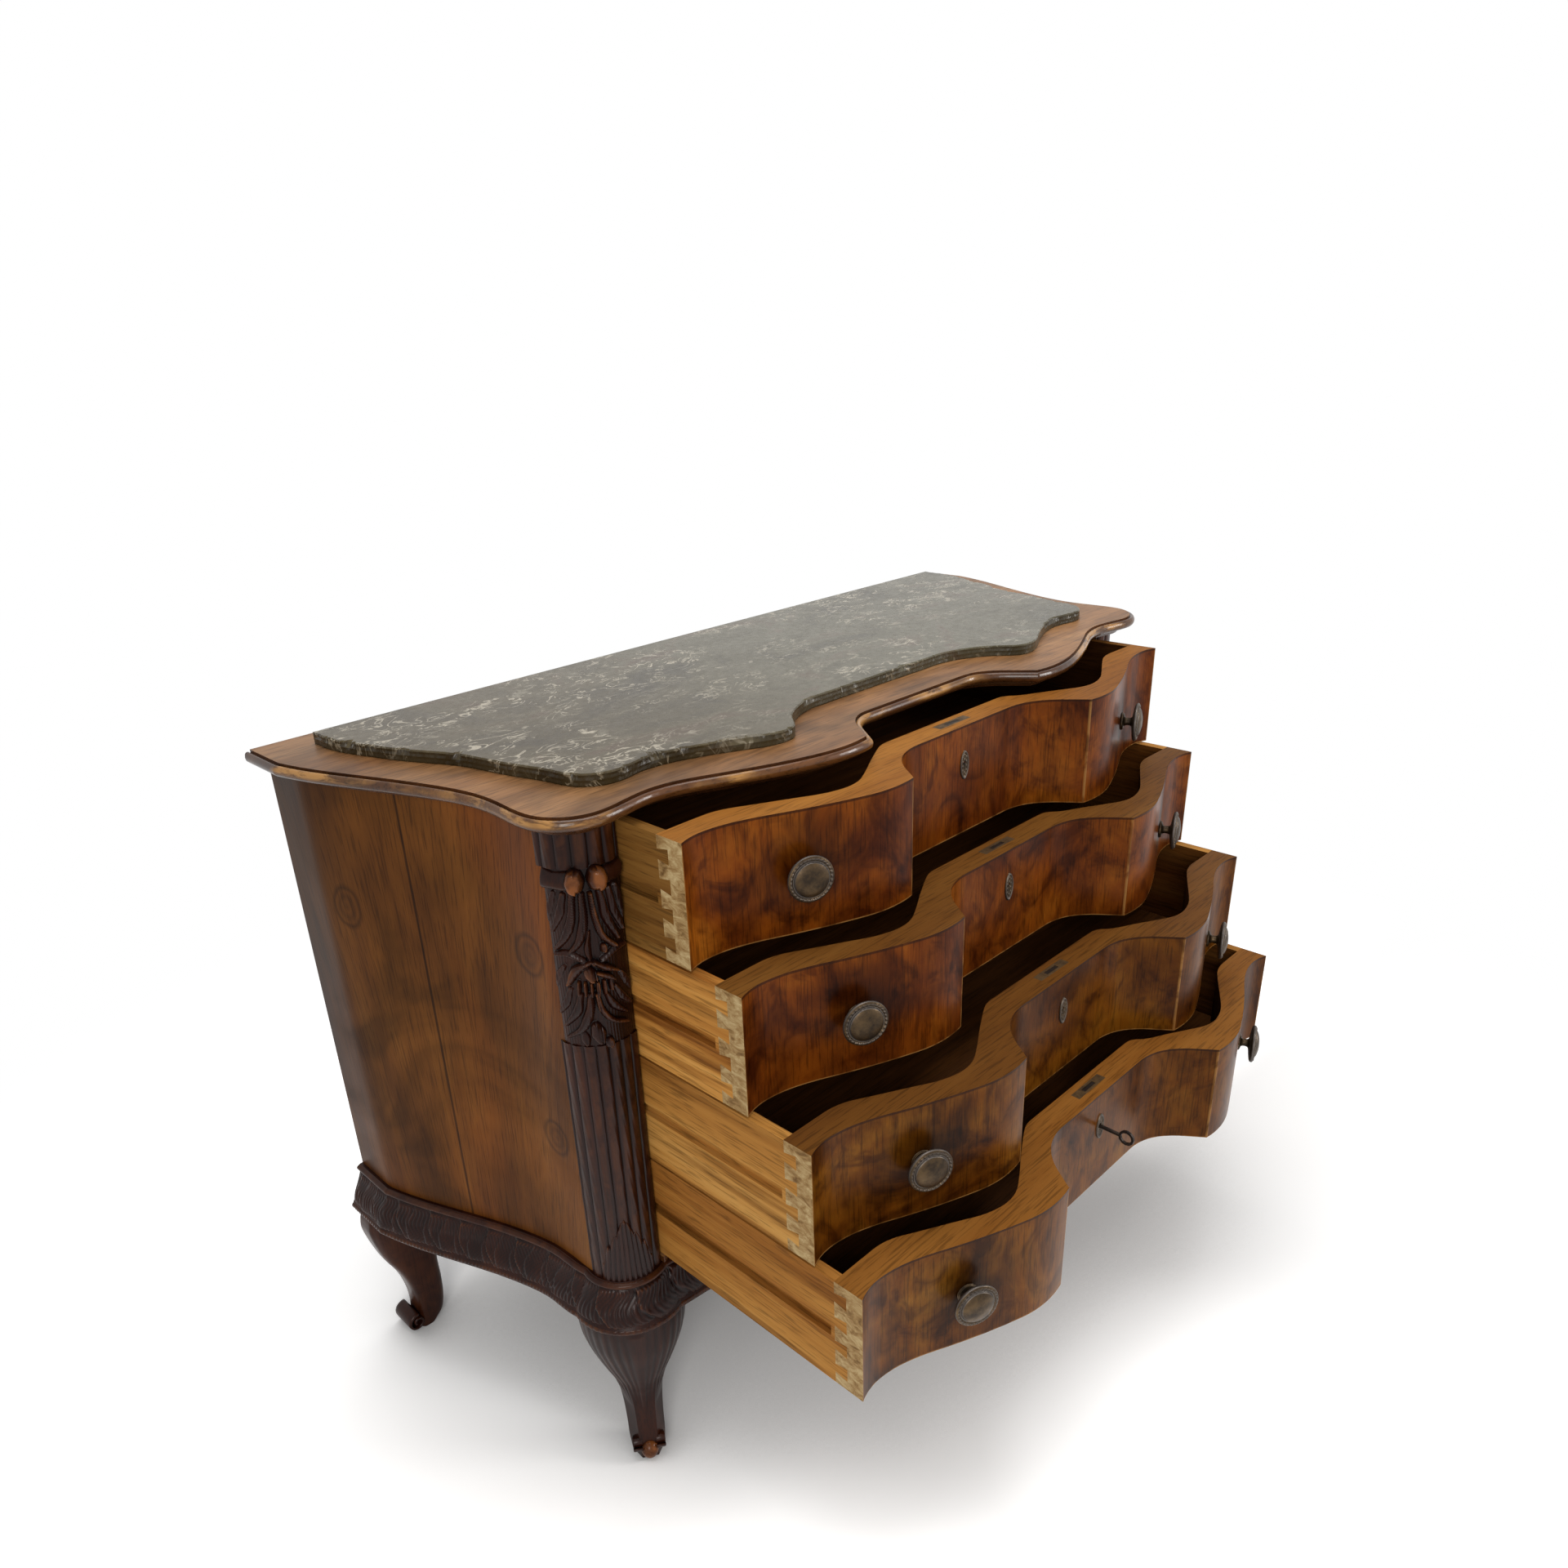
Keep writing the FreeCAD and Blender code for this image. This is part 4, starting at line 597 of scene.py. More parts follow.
def column_face(rows, columns, column):
    """A face that closes a grid at one of its columns."""
    return tuple(row * columns + int(column) for row in range(rows))


def add_piece(name, points, faces, node=None, worn=None, flip=False, finish="carved_walnut",
              body="root", smooth=True):
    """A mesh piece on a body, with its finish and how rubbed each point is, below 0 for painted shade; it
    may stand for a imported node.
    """
    mesh = bpy.data.meshes.new(name)
    step = -1 if flip else 1
    mesh.from_pydata([tuple(point) for point in points], [], [tuple(face)[::step] for face in faces])
    mesh.polygons.foreach_set("use_smooth", [smooth] * len(mesh.polygons))
    mesh.materials.append(finishes[finish])
    mesh.update()
    if worn is not None:
        layer = mesh.attributes.new("wear", "FLOAT", "POINT")
        layer.data.foreach_set("value", np.asarray(worn, np.float32).ravel())
    piece = bpy.data.objects.new(name, mesh)
    bpy.context.collection.objects.link(piece)
    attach(piece, body)
    if node:
        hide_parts(node)


def proud(heights, reach):
    """How far each spot of a height grid stands above its surroundings."""
    kernel = np.hanning(2 * reach + 3)[1:-1]
    kernel /= kernel.sum()
    soft = np.pad(heights, reach, mode="edge")
    for axis in (0, 1):
        soft = np.apply_along_axis(np.convolve, axis, soft, kernel, "valid")
    return heights - soft


# Carving: every ornament is a set of strokes on a flat drawing. A stroke is a path, its
# half widths along it and its height, all in millimetres. A blade leans from the middle.

BLADE_MIDDLE_MM = 2.0
BLADE_TILT = 0.28


def carve(across, down, strokes, ground):
    """Height of the carved face over a grid of places on the drawing."""
    height = np.full(across.shape, ground, float)
    spots = np.stack([across.ravel(), down.ravel()], 1)
    row = np.arange(len(spots))
    for path, widths, rise in strokes:
        line = smooth_path(path, 28)
        ahead = np.gradient(line, axis=0)
        half = np.interp(np.linspace(0, 1, len(line)), (0, 0.5, 1), widths)
        away = spots[:, None, :] - line[None, :, :]
        gap = np.linalg.norm(away, axis=2) / half
        nearest = gap.argmin(1)
        near, away = gap[row, nearest], away[row, nearest]
        side = np.sign(ahead[nearest, 0] * away[:, 1] - ahead[nearest, 1] * away[:, 0])
        outward = side * np.sign(spots[:, 0] - BLADE_MIDDLE_MM)
        crown = np.clip(1 - near ** 2.6, 0, None) ** 0.5 * rise * (1 - BLADE_TILT * outward * near)
        height = np.maximum(height, crown.reshape(across.shape))
    return height


# Upper ornament of a left post, in millimetres to the right of the post's middle and down
# from the roll's top: the roll, the leaves, the flower and the drops.
STROKES = (
    (((-44, 14), (-14, 15)), (11.5, 9.5, 11), 8),
    (((19, 15), (44, 14)), (11, 9.5, 11.5), 8),
    (((-7.5, 9), (-7.5, 21)), (8, 9.8, 8), 13.5),
    (((12.5, 8), (12.5, 20)), (8, 9.8, 8), 14),
    (((-3, 30), (-4, 60), (-10, 82), (-21, 96)), (3.4, 5.4, 2.6), 5.6),
    (((-12, 30), (-16, 58), (-24, 78), (-35, 92)), (3.4, 5.4, 2.6), 5),
    (((-21, 30), (-27, 52), (-37, 72)), (3.4, 5, 2.4), 4.4),
    (((-31, 29), (-38, 47), (-43, 62)), (3, 4.6, 2.2), 3.8),
    (((5, 30), (7, 56), (12, 78), (23, 93)), (2.6, 3.6, 3.4), 8),
    (((14, 30), (19, 60), (29, 87)), (3.4, 5.2, 2.4), 5.2),
    (((24, 30), (29, 56), (37, 80)), (3.4, 5, 2.2), 4.6),
    (((33, 30), (39, 52), (43, 70)), (3, 4.6, 2.2), 4),
    (((0, 72), (-3, 92), (-1, 106)), (1.6, 3.8, 2), 4.6),
    (((12, 90), (12, 95)), (3, 3.4, 3), 7.8),
    (((-36, 98), (-22, 96), (-8, 104)), (2.8, 4, 3.4), 5.4),
    (((36, 97), (24, 98), (10, 106)), (2.8, 4, 3.4), 5.4),
    (((-2, 106), (-16, 115), (-24, 130)), (3, 6, 2.6), 9),
    (((1, 106), (12, 115), (22, 121)), (2.6, 4.6, 2), 9.5),
    (((4, 120), (12, 125), (18, 130)), (2.6, 4.4, 2.2), 8.5),
    (((-5, 115), (-1, 125)), (5, 6.5, 5), 9),
    (((-15, 129), (-16, 143)), (1.8, 2.4, 1.8), 6),
    (((-9, 130), (-9, 144)), (1.8, 2.4, 1.8), 6.5),
    (((-3, 131), (-3, 145)), (1.8, 2.4, 1.8), 6.5),
    (((3, 131), (3, 145)), (1.8, 2.4, 1.8), 6.5),
    (((9, 130), (9, 144)), (1.8, 2.4, 1.8), 6.5),
    (((15, 129), (16, 142)), (1.8, 2.4, 1.8), 6),
    (((-5, 145), (-8, 165), (-17, 185), (-33, 197)), (3.4, 5.8, 2.4), 5.6),
    (((-15, 144), (-21, 165), (-35, 183)), (3.2, 5.4, 2.2), 5),
    (((-25, 138), (-32, 156), (-42, 170)), (3, 4.8, 2.2), 4.2),
    (((1, 144), (4, 163), (13, 178), (28, 186)), (2.6, 3.6, 2.6), 8),
    (((10, 146), (17, 162), (29, 175)), (2.6, 4.8, 2.2), 5),
    (((20, 140), (28, 156), (37, 168)), (2.6, 4.6, 2.2), 4.4),
    (((29, 128), (37, 142), (43, 154)), (2.6, 4.4, 2.2), 3.8),
    (((-29, 112), (-37, 124), (-43, 138)), (2.6, 4.4, 2.2), 3.8),
    (((-4, 182), (-2, 192), (0, 200)), (5, 8, 5), 7),
    (((8, 202), (8, 207)), (4.4, 5.2, 4.4), 7.6),
    (((-16, 192), (-14, 204)), (3.4, 5.2, 2.8), 4.6),
)
ORNAMENT_LENGTH_MM = 214.0
ROLL_END_MM = 32.0
# Foot leaf: how high its edge stands at places to the side of its middle, its size, and
# its ribs' pitch, in millimetres.
FOOT_EDGE = (
    (0, 92), (4, 86), (8, 74), (9.5, 68), (12, 72), (16, 60), (18.5, 50), (21.5, 53), (25, 40),
    (27, 28), (30, 26), (31, 0),
)
FOOT_HALF_MM = 31.0
FOOT_HEIGHT_MM = 93.0
FOOT_RIB_MM = 6.2

# Corner posts: the axis of their round face, in millimetres for the right post; its radius;
# then turns about it for the left post: its middle, the ornament's half, its start and end.
POST_AXIS_MM = (472.5, -143.0)
POST_RADIUS_MM = 45.3
POST_MIDDLE_DEG = 238.5
POST_HALF_TURN_DEG = 55.0
POST_TURN_DEG = (173.6, 297.1)
# Reeds of the posts: how far they stand, how far below the carving's top the lower and
# the upper ones end, and their steps.
REED_RISE_MM = 2.6
REED_ENDS_MM = (208.0, 3.0)
REED_STEPS_DEG = (17.0, 21.0)


def post_points(sign, angle, radius, level):
    """Points about a corner post's axis, at angles drawn for the left post."""
    x, y = POST_AXIS_MM
    return grid_points(sign * (x - radius * np.cos(angle)), y + radius * np.sin(angle), level)


def make_carving(side, sign):
    """Carved ornament and foot leaf laid on a corner post's round face."""
    node = "carving_" + side
    low, high = (corner.z * 1000 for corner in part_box(node))
    reach = math.radians(POST_HALF_TURN_DEG) * POST_RADIUS_MM
    across, down = np.linspace(-reach, reach, 180), np.linspace(0, ORNAMENT_LENGTH_MM, 400)
    wide, deep = np.meshgrid(across, down)
    gouges = 0.12 * np.sin(wide * 1.9 + 0.5 * np.sin(deep * 0.11)) * (deep > ROLL_END_MM)
    upper = np.clip(carve(wide, deep, STROKES, 0.8) + gouges, 0.3, None)
    upper *= slope(reach - np.abs(wide), 0, 4) ** 0.5
    upper *= slope(ORNAMENT_LENGTH_MM - deep, 0, 3) ** 0.5
    across, up = np.linspace(-FOOT_HALF_MM, FOOT_HALF_MM, 110), np.linspace(0, FOOT_HEIGHT_MM, 140)
    foot_wide, foot_high = np.meshgrid(across, up)
    inside = np.interp(np.abs(foot_wide), *zip(*FOOT_EDGE)) - foot_high
    share = slope(np.minimum(inside, FOOT_HALF_MM - np.abs(foot_wide)), 0, 4)
    spread = foot_wide / (1 - 0.0035 * foot_high)
    ribs = np.abs(np.cos(np.pi * spread / FOOT_RIB_MM)) ** 0.7
    lower = np.sqrt(1 - (1 - share) ** 2) * (3.8 + 1.9 * ribs) - 1.2
    points, faces, worn = [], [], []
    for grid, heights, levels in ((wide, upper, high - deep), (foot_wide, lower, low + foot_high)):
        angle = np.radians(POST_MIDDLE_DEG) + grid / POST_RADIUS_MM
        faces += grid_faces(*grid.shape, start=len(points))
        points += list(post_points(sign, angle, POST_RADIUS_MM + heights, levels))
        # Rubbed where it stands proud; below 0 in its hollows, which get painted shade.
        rubbed = proud(heights, 8) * 0.22 - 0.12 + 0.30 * slope(heights, 6.6, 9.6)
        worn += list(np.clip(rubbed + 0.8 * slope(heights, 10.5, 12.5), -1, 1).ravel())
    add_piece("post_carving_" + side, points, faces, node, worn, sign > 0)


def make_post_reeds(side, sign):
    """Reeds on a corner post's round face, below and above its carving."""
    low, high = (corner.z * 1000 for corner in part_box("corner_post_" + side))
    under, over = (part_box("carving_" + side)[1].z * 1000 - end for end in REED_ENDS_MM)
    turn = np.linspace(*POST_TURN_DEG, 420)
    points, faces, worn = [], [], []
    for start, end, step in zip((low, over), (under, high), REED_STEPS_DEG):
        rows = max(6, int((end - start) / 5))
        around, level = np.meshgrid(turn, np.linspace(start, end, rows))
        phase = ((around - POST_MIDDLE_DEG) / step + 0.5) % 1
        crown = np.sqrt(np.clip(1 - (2 * phase - 1) ** 2, 0, None))
        hand = 0.12 * np.sin(level / 17 + around / 3) + 0.10 * np.sin(level / 6.1 + around)
        relief = REED_RISE_MM * (crown - 0.5) + hand * crown
        share = slope(np.minimum(around - POST_TURN_DEG[0], POST_TURN_DEG[1] - around), 0, 3)
        radius = POST_RADIUS_MM - 0.6 + share * (1.9 + relief)
        faces += grid_faces(rows, len(turn), start=len(points))
        points += list(post_points(sign, np.radians(around), radius, level))
        # Rubbed on the reeds' crowns; below 0 in the grooves between them, which get painted shade.
        worn += list((np.clip(crown - 0.75, -0.6, 0.2) * 0.8).ravel())
    add_piece("post_reeds_" + side, points, faces, None, worn, sign > 0)


# Front legs: height share, radius and how far the middle has swept out, in millimetres;
# then the depth of the knee's leaf carving.
FRONT_LEG = (
    (0, 20.5, 44, 0), (0.10, 22.5, 41, 0), (0.20, 23, 36, 0), (0.32, 24.5, 29, 0),
    (0.42, 28, 22, 0.3), (0.50, 33, 17, 0.8), (0.58, 42, 12, 1), (0.68, 53, 6, 1),
    (0.80, 62.5, 2, 1), (0.92, 66.5, 0.5, 0.8), (1, 66, 0, 0.5),
)
LEG_HEIGHT_MM = 218.0
LEG_LEAST_MM = 3.0
LEG_REEDS = 34
FRONT_LEG_TURN_DEG = 57.0
# Toes of the front legs: places of the scrolls and the ball out from the leg's axis, to
# the side and up, and their sizes.
SCROLL_PLACE = (0.0555, 0.0145, 0.0225)
SCROLL_SIZE = (0.0105, 0.012)
BALL_PLACE = (0.0600, 0.0128)
BALL_RADII = (0.0110, 0.0110, 0.0128)


def make_front_leg(side, sign):
    """Cabriole leg with a leaf-carved knee and a ridged ankle."""
    rows, columns = 150, 176
    table = smooth_path(FRONT_LEG, 400).T
    share = np.linspace(0, 1, rows)
    radius, swept, depth = (np.interp(share, table[0], line)[:, None] for line in table[1:])
    around, share = np.meshgrid(full_turn(columns), share)
    away = np.abs((around + np.pi) % (2 * np.pi) - np.pi)
    lean = 2.2 * (1 - share) * np.sign(np.sin(around))
    reeds = np.abs(np.sin(around * LEG_REEDS / 2 + lean)) ** 0.6
    rib = np.clip(1 - (away / (0.10 + 0.10 * share)) ** 2, 0, None) ** 0.5
    rib *= slope(share, 0.28, 0.40) * np.clip((1 - share) / 0.05, 0.3, 1)
    relief = np.maximum((reeds - 0.6) * 1.9 * depth, rib * 2.4 - 0.4)
    facet = np.cos(np.pi / 6) / np.cos((around + np.pi / 6) % (np.pi / 3) - np.pi / 6)
    reach = radius * (1 + slope(share, 0.46, 0.34) * (facet - 1)) + relief
    reach = reach.clip(LEG_LEAST_MM, None)
    along, across = swept + reach * np.cos(around), reach * np.sin(around)
    way = math.radians(FRONT_LEG_TURN_DEG)
    x = POST_AXIS_MM[0] + along * math.cos(way) - across * math.sin(way)
    y = POST_AXIS_MM[1] - along * math.sin(way) - across * math.cos(way)
    points = grid_points(sign * x, y, LEG_HEIGHT_MM * share)
    faces = grid_faces(rows, columns, closed=True) + [range(columns)[::-1]]
    # Rubbed where the knee's carving stands proud; below 0 in its grooves, which get painted shade.
    worn = np.clip(proud(relief, 4) * 0.35 - 0.05, -1, 0.5)
    add_piece("front_leg_" + side, points, faces, "leg_front_" + side, worn, sign > 0)


def add_scroll(name, centre, axis, start, size, turns):
    """Scroll: a thick spiral of a radius, extruded to a length along an axis."""
    radius, length = size
    axis, start = Vector(axis).normalized(), Vector(start).normalized()
    other = axis.cross(start)
    steps = 64
    outline = []
    for edge in (1, -1):
        line = []
        for step in range(steps + 1):
            share = step / steps
            angle = share * turns * 2 * math.pi
            reach = radius * (1 - 0.78 * share + edge * 0.11 * (1 - 0.3 * share))
            line.append(start * (reach * math.cos(angle)) + other * (reach * math.sin(angle)))
        outline += line[::edge]
    points = [
        Vector(centre) + point * swell + axis * length * end
        for end, swell in ((-0.5, 0.94), (-0.42, 1), (0.42, 1), (0.5, 0.94)) for point in outline
    ]
    count = len(outline)
    faces = grid_faces(4, count, closed=True)
    for base in (0, 3 * count):
        for step in range(steps):
            quad = (base + step, base + step + 1, base + count - 2 - step, base + count - 1 - step)
            faces.append(quad if base else quad[::-1])
    add_piece(name, points, faces)


def make_toe(side, sign):
    """Two small scrolls and a ball at the end of a front leg."""
    way = math.radians(FRONT_LEG_TURN_DEG)
    out = Vector((sign * math.cos(way), -math.sin(way), 0))
    across = Vector((-out.y, out.x, 0))
    axis = Vector((sign * POST_AXIS_MM[0], POST_AXIS_MM[1], 0)) / 1000
    forward, aside, up = SCROLL_PLACE
    for number, place in ((1, -aside), (2, aside)):
        centre = axis + out * forward + across * place + Vector((0, 0, up))
        add_scroll("toe_scroll_%s_%d" % (side, number), centre, across, out, SCROLL_SIZE, 1.6)
    centre = axis + out * BALL_PLACE[0] + Vector((0, 0, BALL_PLACE[1]))
    work = bmesh.new()
    bmesh.ops.create_uvsphere(work, u_segments=32, v_segments=20, radius=1)
    work.verts.index_update()
    points = [centre + vertex.co * Vector(BALL_RADII) for vertex in work.verts]
    faces = sorted([vertex.index for vertex in face.verts] for face in work.faces)
    work.free()
    add_piece("toe_ball_" + side, points, faces, worn=[1.5] * len(points))


# Rear legs: outer and inner edge, from the floor up, as distance from the middle of the
# chest and height, in millimetres; then their place, and the volute's place and size.
REAR_OUTER = (
    (596, 0), (594, 22), (594, 48), (599, 78), (608, 106), (622, 138), (631, 168), (636, 194),
    (635, 208), (632, 218),
)
REAR_INNER = (
    (572, 0), (557, 12), (551, 34), (549, 62), (549, 96), (547, 132), (544, 170), (543, 196),
    (542, 218),
)
REAR_MIDDLE_Y_MM = 230.0
REAR_HALF_DEPTH_MM = 24.5
VOLUTE_PLACE = (0.6010, 0.0150)
VOLUTE_SIZE = (0.0142, 0.043)


def make_rear_leg(side, sign):
    """Sideways cabriole leg with a reeded knee and an outward volute."""
    rows, columns = 120, 64
    outer, inner = smooth_path(REAR_OUTER, rows), smooth_path(REAR_INNER, rows)
    middle, half = (outer + inner) / 2, (outer - inner) / 2
    turn, row = np.meshgrid(full_turn(columns), np.arange(rows))
    along, back = (np.sign(wave) * np.abs(wave) ** 0.55 for wave in (np.cos(turn), np.sin(turn)))
    knee = slope(row / rows, 0.55, 0.75)
    reed = 1 + 0.035 * knee * (np.abs(np.sin(back * 9)) - 0.5) * (along > 0)
    x, z = (middle[:, k, None] + half[:, k, None] * along * reed for k in (0, 1))
    y = REAR_MIDDLE_Y_MM + REAR_HALF_DEPTH_MM * (0.86 + 0.14 * knee) * back
    faces = grid_faces(rows, columns, closed=True) + [range(columns)[::-1]]
    points = grid_points(sign * x, y, z)
    add_piece("rear_leg_" + side, points, faces, "leg_rear_" + side, [0.1] * len(points), sign > 0)
    centre = (sign * VOLUTE_PLACE[0], REAR_MIDDLE_Y_MM / 1000, VOLUTE_PLACE[1])
    add_scroll("toe_volute_" + side, centre, (0, sign, 0), (-sign * 0.2, 0, 1), VOLUTE_SIZE, 1.4)


# Turned knobs: radius and distance from the drawer front, in millimetres; then the ring of
# beads: its radius, height, half width and number, and the radii that hands have rubbed.
KNOB_PROFILE = (
    (0, 0), (11, 0), (11.4, 1), (11, 2.2), (9.5, 3), (6.4, 4), (5.2, 6), (5, 9), (5.6, 12),
    (7.6, 13.4), (12, 14.2), (20, 15.4), (24.2, 16.6), (25.3, 18), (25.5, 19.4), (24.8, 20.8),
    (23.4, 21.4), (21.6, 21), (19.8, 20.6), (19.2, 21.4), (18.2, 23), (14, 25), (8, 26.4),
    (3, 26.9), (0, 27),
)
BEAD_RING_MM = 22.3
BEAD_LEVEL_MM = 19.2
BEAD_HALF_MM = 1.35
KNOB_BEADS = 30
RUBBED_MM = (18.5, 20.5, 25.0)


def knob_axis(number, sign):
    """A packed knob's axis: a point on it, its outward direction and how far it reaches."""
    mesh = frame["nodes"]["drawer_%d_knobs" % number].data
    faces = [face for face in mesh.polygons if face.center.x * sign > 0]
    way = Vector((0, -1, 0))
    for _ in range(3):
        facing = [face for face in faces if face.normal.dot(way) > 0.75]
        way = sum((face.normal * face.area for face in facing), Vector()).normalized()
    area = sum(face.area for face in facing)
    middle = sum((face.center * face.area for face in facing), Vector()) / area
    corners = (mesh.vertices[index].co for face in facing for index in face.vertices)
    return middle, way, max((corner - middle).dot(way) for corner in corners)


def make_knobs(number):
    """A drawer's two turned knobs, each with a flange, a neck and a beaded rim."""
    turn = full_turn(180)
    radius, far = np.split(smooth_path(KNOB_PROFILE, 150), 2, axis=1)
    gap = np.clip(1 - np.abs(radius - BEAD_RING_MM) / BEAD_HALF_MM, 0, None) * (far > BEAD_LEVEL_MM)
    beads = np.abs(np.cos(turn * KNOB_BEADS / 2)) ** 0.7
    rise = far + gap ** 0.5 * (beads - 0.35) * 1.7
    low, high, outer = RUBBED_MM
    rubbed = (radius > low) & (radius < high) | (radius > outer)
    worn = np.repeat(np.where(rubbed, 0.8, gap * 0.6), len(turn))
    spots = grid_points(radius * np.cos(turn), radius * np.sin(turn), rise)
    faces = grid_faces(*rise.shape, closed=True)
    for side, sign in SIDES.items():
        middle, way, reach = knob_axis(number, sign)
        across = Vector((0, 0, 1)).cross(way).normalized()
        seat = middle + way * (reach - KNOB_PROFILE[-1][1] / 1000)
        points = np.array(seat) + spots @ np.array([across, way.cross(across), way])
        add_piece(
            "knob_%d_%s" % (number, side), points, faces, "drawer_%d_knobs" % number, worn,
            finish="bronze", body="drawer_%d" % number,
        )


# Base moulding: its foot; the number of points that a packed plan is read to, the level at
# which the moulding's own is read, how far out that is and where it ends; how proud the
# band stands; its leaves' pitch; then distance out from the carcass and height above the
# foot, in millimetres.
BASE_FOOT_MM = 218.0
PLAN_POINTS = 2400
BASE_PLAN_LEVEL = 0.2700
BASE_PLAN_OUT_MM = 5.9
BASE_REAR = 0.2585
BAND_PROUD_MM = 0.35
LEAF_PITCH_MM = 47.0
BASE_PROFILE = (
    (21, 0), (25, 0.2), (27.6, 2.2), (27.9, 4.6), (26.6, 7.4), (23.6, 8.2), (23, 9.6), (22.9, 13),
    (21.6, 18), (19.4, 24), (16.4, 30), (13, 36.5), (9.8, 43), (7.4, 49), (6.4, 53), (7.6, 54),
    (9.4, 55.6), (9.8, 57.6), (8.6, 59.8), (5.2, 61.4), (1, 62),
)


def plan_outline(node, level):
    """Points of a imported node's outline at a level, in order round it."""
    work = bmesh.new()
    work.from_mesh(frame["nodes"][node].data)
    parts = list(work.verts) + list(work.edges) + list(work.faces)
    cut = bmesh.ops.bisect_plane(
        work, geom=parts, dist=1e-7, plane_co=(0, 0, level), plane_no=(0, 0, 1)
    )["geom_cut"]
    beside, spots = {}, {}
    for edge in cut:
        if isinstance(edge, bmesh.types.BMEdge):
            keys = []
            for vertex in edge.verts:
                key = (round(vertex.co.x * 1e5), round(vertex.co.y * 1e5))
                spots[key] = (vertex.co.x, vertex.co.y)
                keys.append(key)
            if keys[0] != keys[1]:
                beside.setdefault(keys[0], set()).add(keys[1])
                beside.setdefault(keys[1], set()).add(keys[0])
    work.free()
    loops, left = [], set(beside)
    while left:
        here, loop = min(left), []
        while here in left:
            left.remove(here)
            loop.append(spots[here])
            onward = [key for key in beside[here] if key in left]
            here = onward[0] if onward else None
        loops.append(np.array(loop))
    return max(loops, key=lambda loop: np.ptp(loop[:, 0]) * 10 + len(loop))


def even_path(points, count):
    """Points at even steps along a polyline, and how far along it they are."""
    along = np.cumsum([0, *np.linalg.norm(np.diff(points, axis=0), axis=1)])
    places = np.linspace(0, along[-1], count)
    return np.stack([np.interp(places, along, points[:, axis]) for axis in (0, 1)], 1), places


def front_run(loop, rear):
    """The part of an outline in front of a plane, from the rear left to the rear right."""
    loop = np.roll(loop, -int(np.argmin(loop[:, 0] - 10 * loop[:, 1])), axis=0)
    if loop[len(loop) // 8, 1] > loop[-len(loop) // 8, 1]:
        loop = np.vstack([loop[:1], loop[1:][::-1]])
    return loop[: np.nonzero(loop[:, 1] < rear)[0].max() + 1]


def make_base_band():
    """Carved band of diagonal leaves between two beads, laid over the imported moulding."""
    run = front_run(plan_outline("base_moulding", BASE_PLAN_LEVEL), BASE_REAR)
    path, along = even_path(run, PLAN_POINTS)
    ahead = np.gradient(path, axis=0)
    ahead /= np.linalg.norm(ahead, axis=1)[:, None]
    out = np.stack([ahead[:, 1], -ahead[:, 0]], 1)
    if (out * path).sum() < 0:
        out = -out
    soften(out, 3)
    out /= np.linalg.norm(out, axis=1)[:, None]
    far, high = np.split(smooth_path(BASE_PROFILE, 64), 2, axis=1)
    aside = np.abs(along - along[-1] / 2) * 1000
    in_band = np.minimum(slope(high, 9, 11), slope(high, 53, 50))
    lean = aside - (high - 10) * 0.42 + 3.5 * np.sin(high / 6.5) + 4 * np.sin(aside / 31)
    leaf = lean / LEAF_PITCH_MM % 1
    lobe = (lean / LEAF_PITCH_MM * 2 + high / 46) % 1
    swell = 3.4 * leaf ** 0.8 * slope(leaf, 1, 0.95) + 1.3 * lobe ** 0.8 * slope(lobe, 1, 0.90)
    fan = lean * (1 + 0.006 * (high - 30)) + 0.10 * high
    relief = (swell + 0.48 * np.sin(fan * 2 * np.pi / 5.2) - 0.4) * in_band
    relief += 0.25 * np.sin(aside * 2 * np.pi / 5.5) * (1 - in_band) * (high < 7)
    relief *= slope(np.minimum(along, along[-1] - along), 0, 0.006)
    reach = far - BASE_PLAN_OUT_MM + BAND_PROUD_MM + relief
    x, y = (path[:, k] * 1000 + out[:, k] * reach for k in (0, 1))
    # Rubbed on the beads; below 0 over the carved band and in its hollows, which get painted shade.
    worn = np.clip(proud(relief, 5) * 0.32 + np.where((high > 54) | (high < 8), 0.20, -0.16), -1, 1)
    rows, columns = relief.shape
    faces = grid_faces(rows, columns)
    faces += [column_face(rows, columns, 0)[::-1], column_face(rows, columns, columns - 1)]
    add_piece("base_band", grid_points(x, y, BASE_FOOT_MM + high), faces, worn=worn)


def add_fill(points, faces, outline, level, upward):
    """Fill a closed outline at a level with triangles that face up or down."""
    spots = [Vector(spot) for spot in outline]
    made, _, triangles = geometry.delaunay_2d_cdt(spots, [], [list(range(len(spots)))], 1, 1e-7)[:3]
    start = len(points)
    points += [(spot.x, spot.y, level) for spot in made]
    for triangle in triangles:
        a, b, c = (made[index] for index in triangle)
        turned = (b - a).cross(c - a) > 0
        corners = tuple(start + index for index in triangle)
        faces.append(corners if turned == upward else corners[::-1])


def outline_ring(node, level):
    """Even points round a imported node's outline, how far along each is, and the way in."""
    outline = plan_outline(node, level)
    path, along = even_path(np.vstack([outline, outline[:1]]), PLAN_POINTS + 1)
    path, along = path[:-1], along[:-1]
    ahead = np.roll(path, -1, axis=0) - np.roll(path, 1, axis=0)
    ahead /= np.linalg.norm(ahead, axis=1)[:, None]
    inward = np.stack([-ahead[:, 1], ahead[:, 0]], 1)
    return path, along, -inward if inward[0] @ path[0] > 0 else inward


def runs_left(points):
    """Whether a closed outline runs to the left about its middle."""
    after = np.roll(points, -1, axis=0)
    return (points[:, 0] * after[:, 1] - after[:, 0] * points[:, 1]).sum() > 0


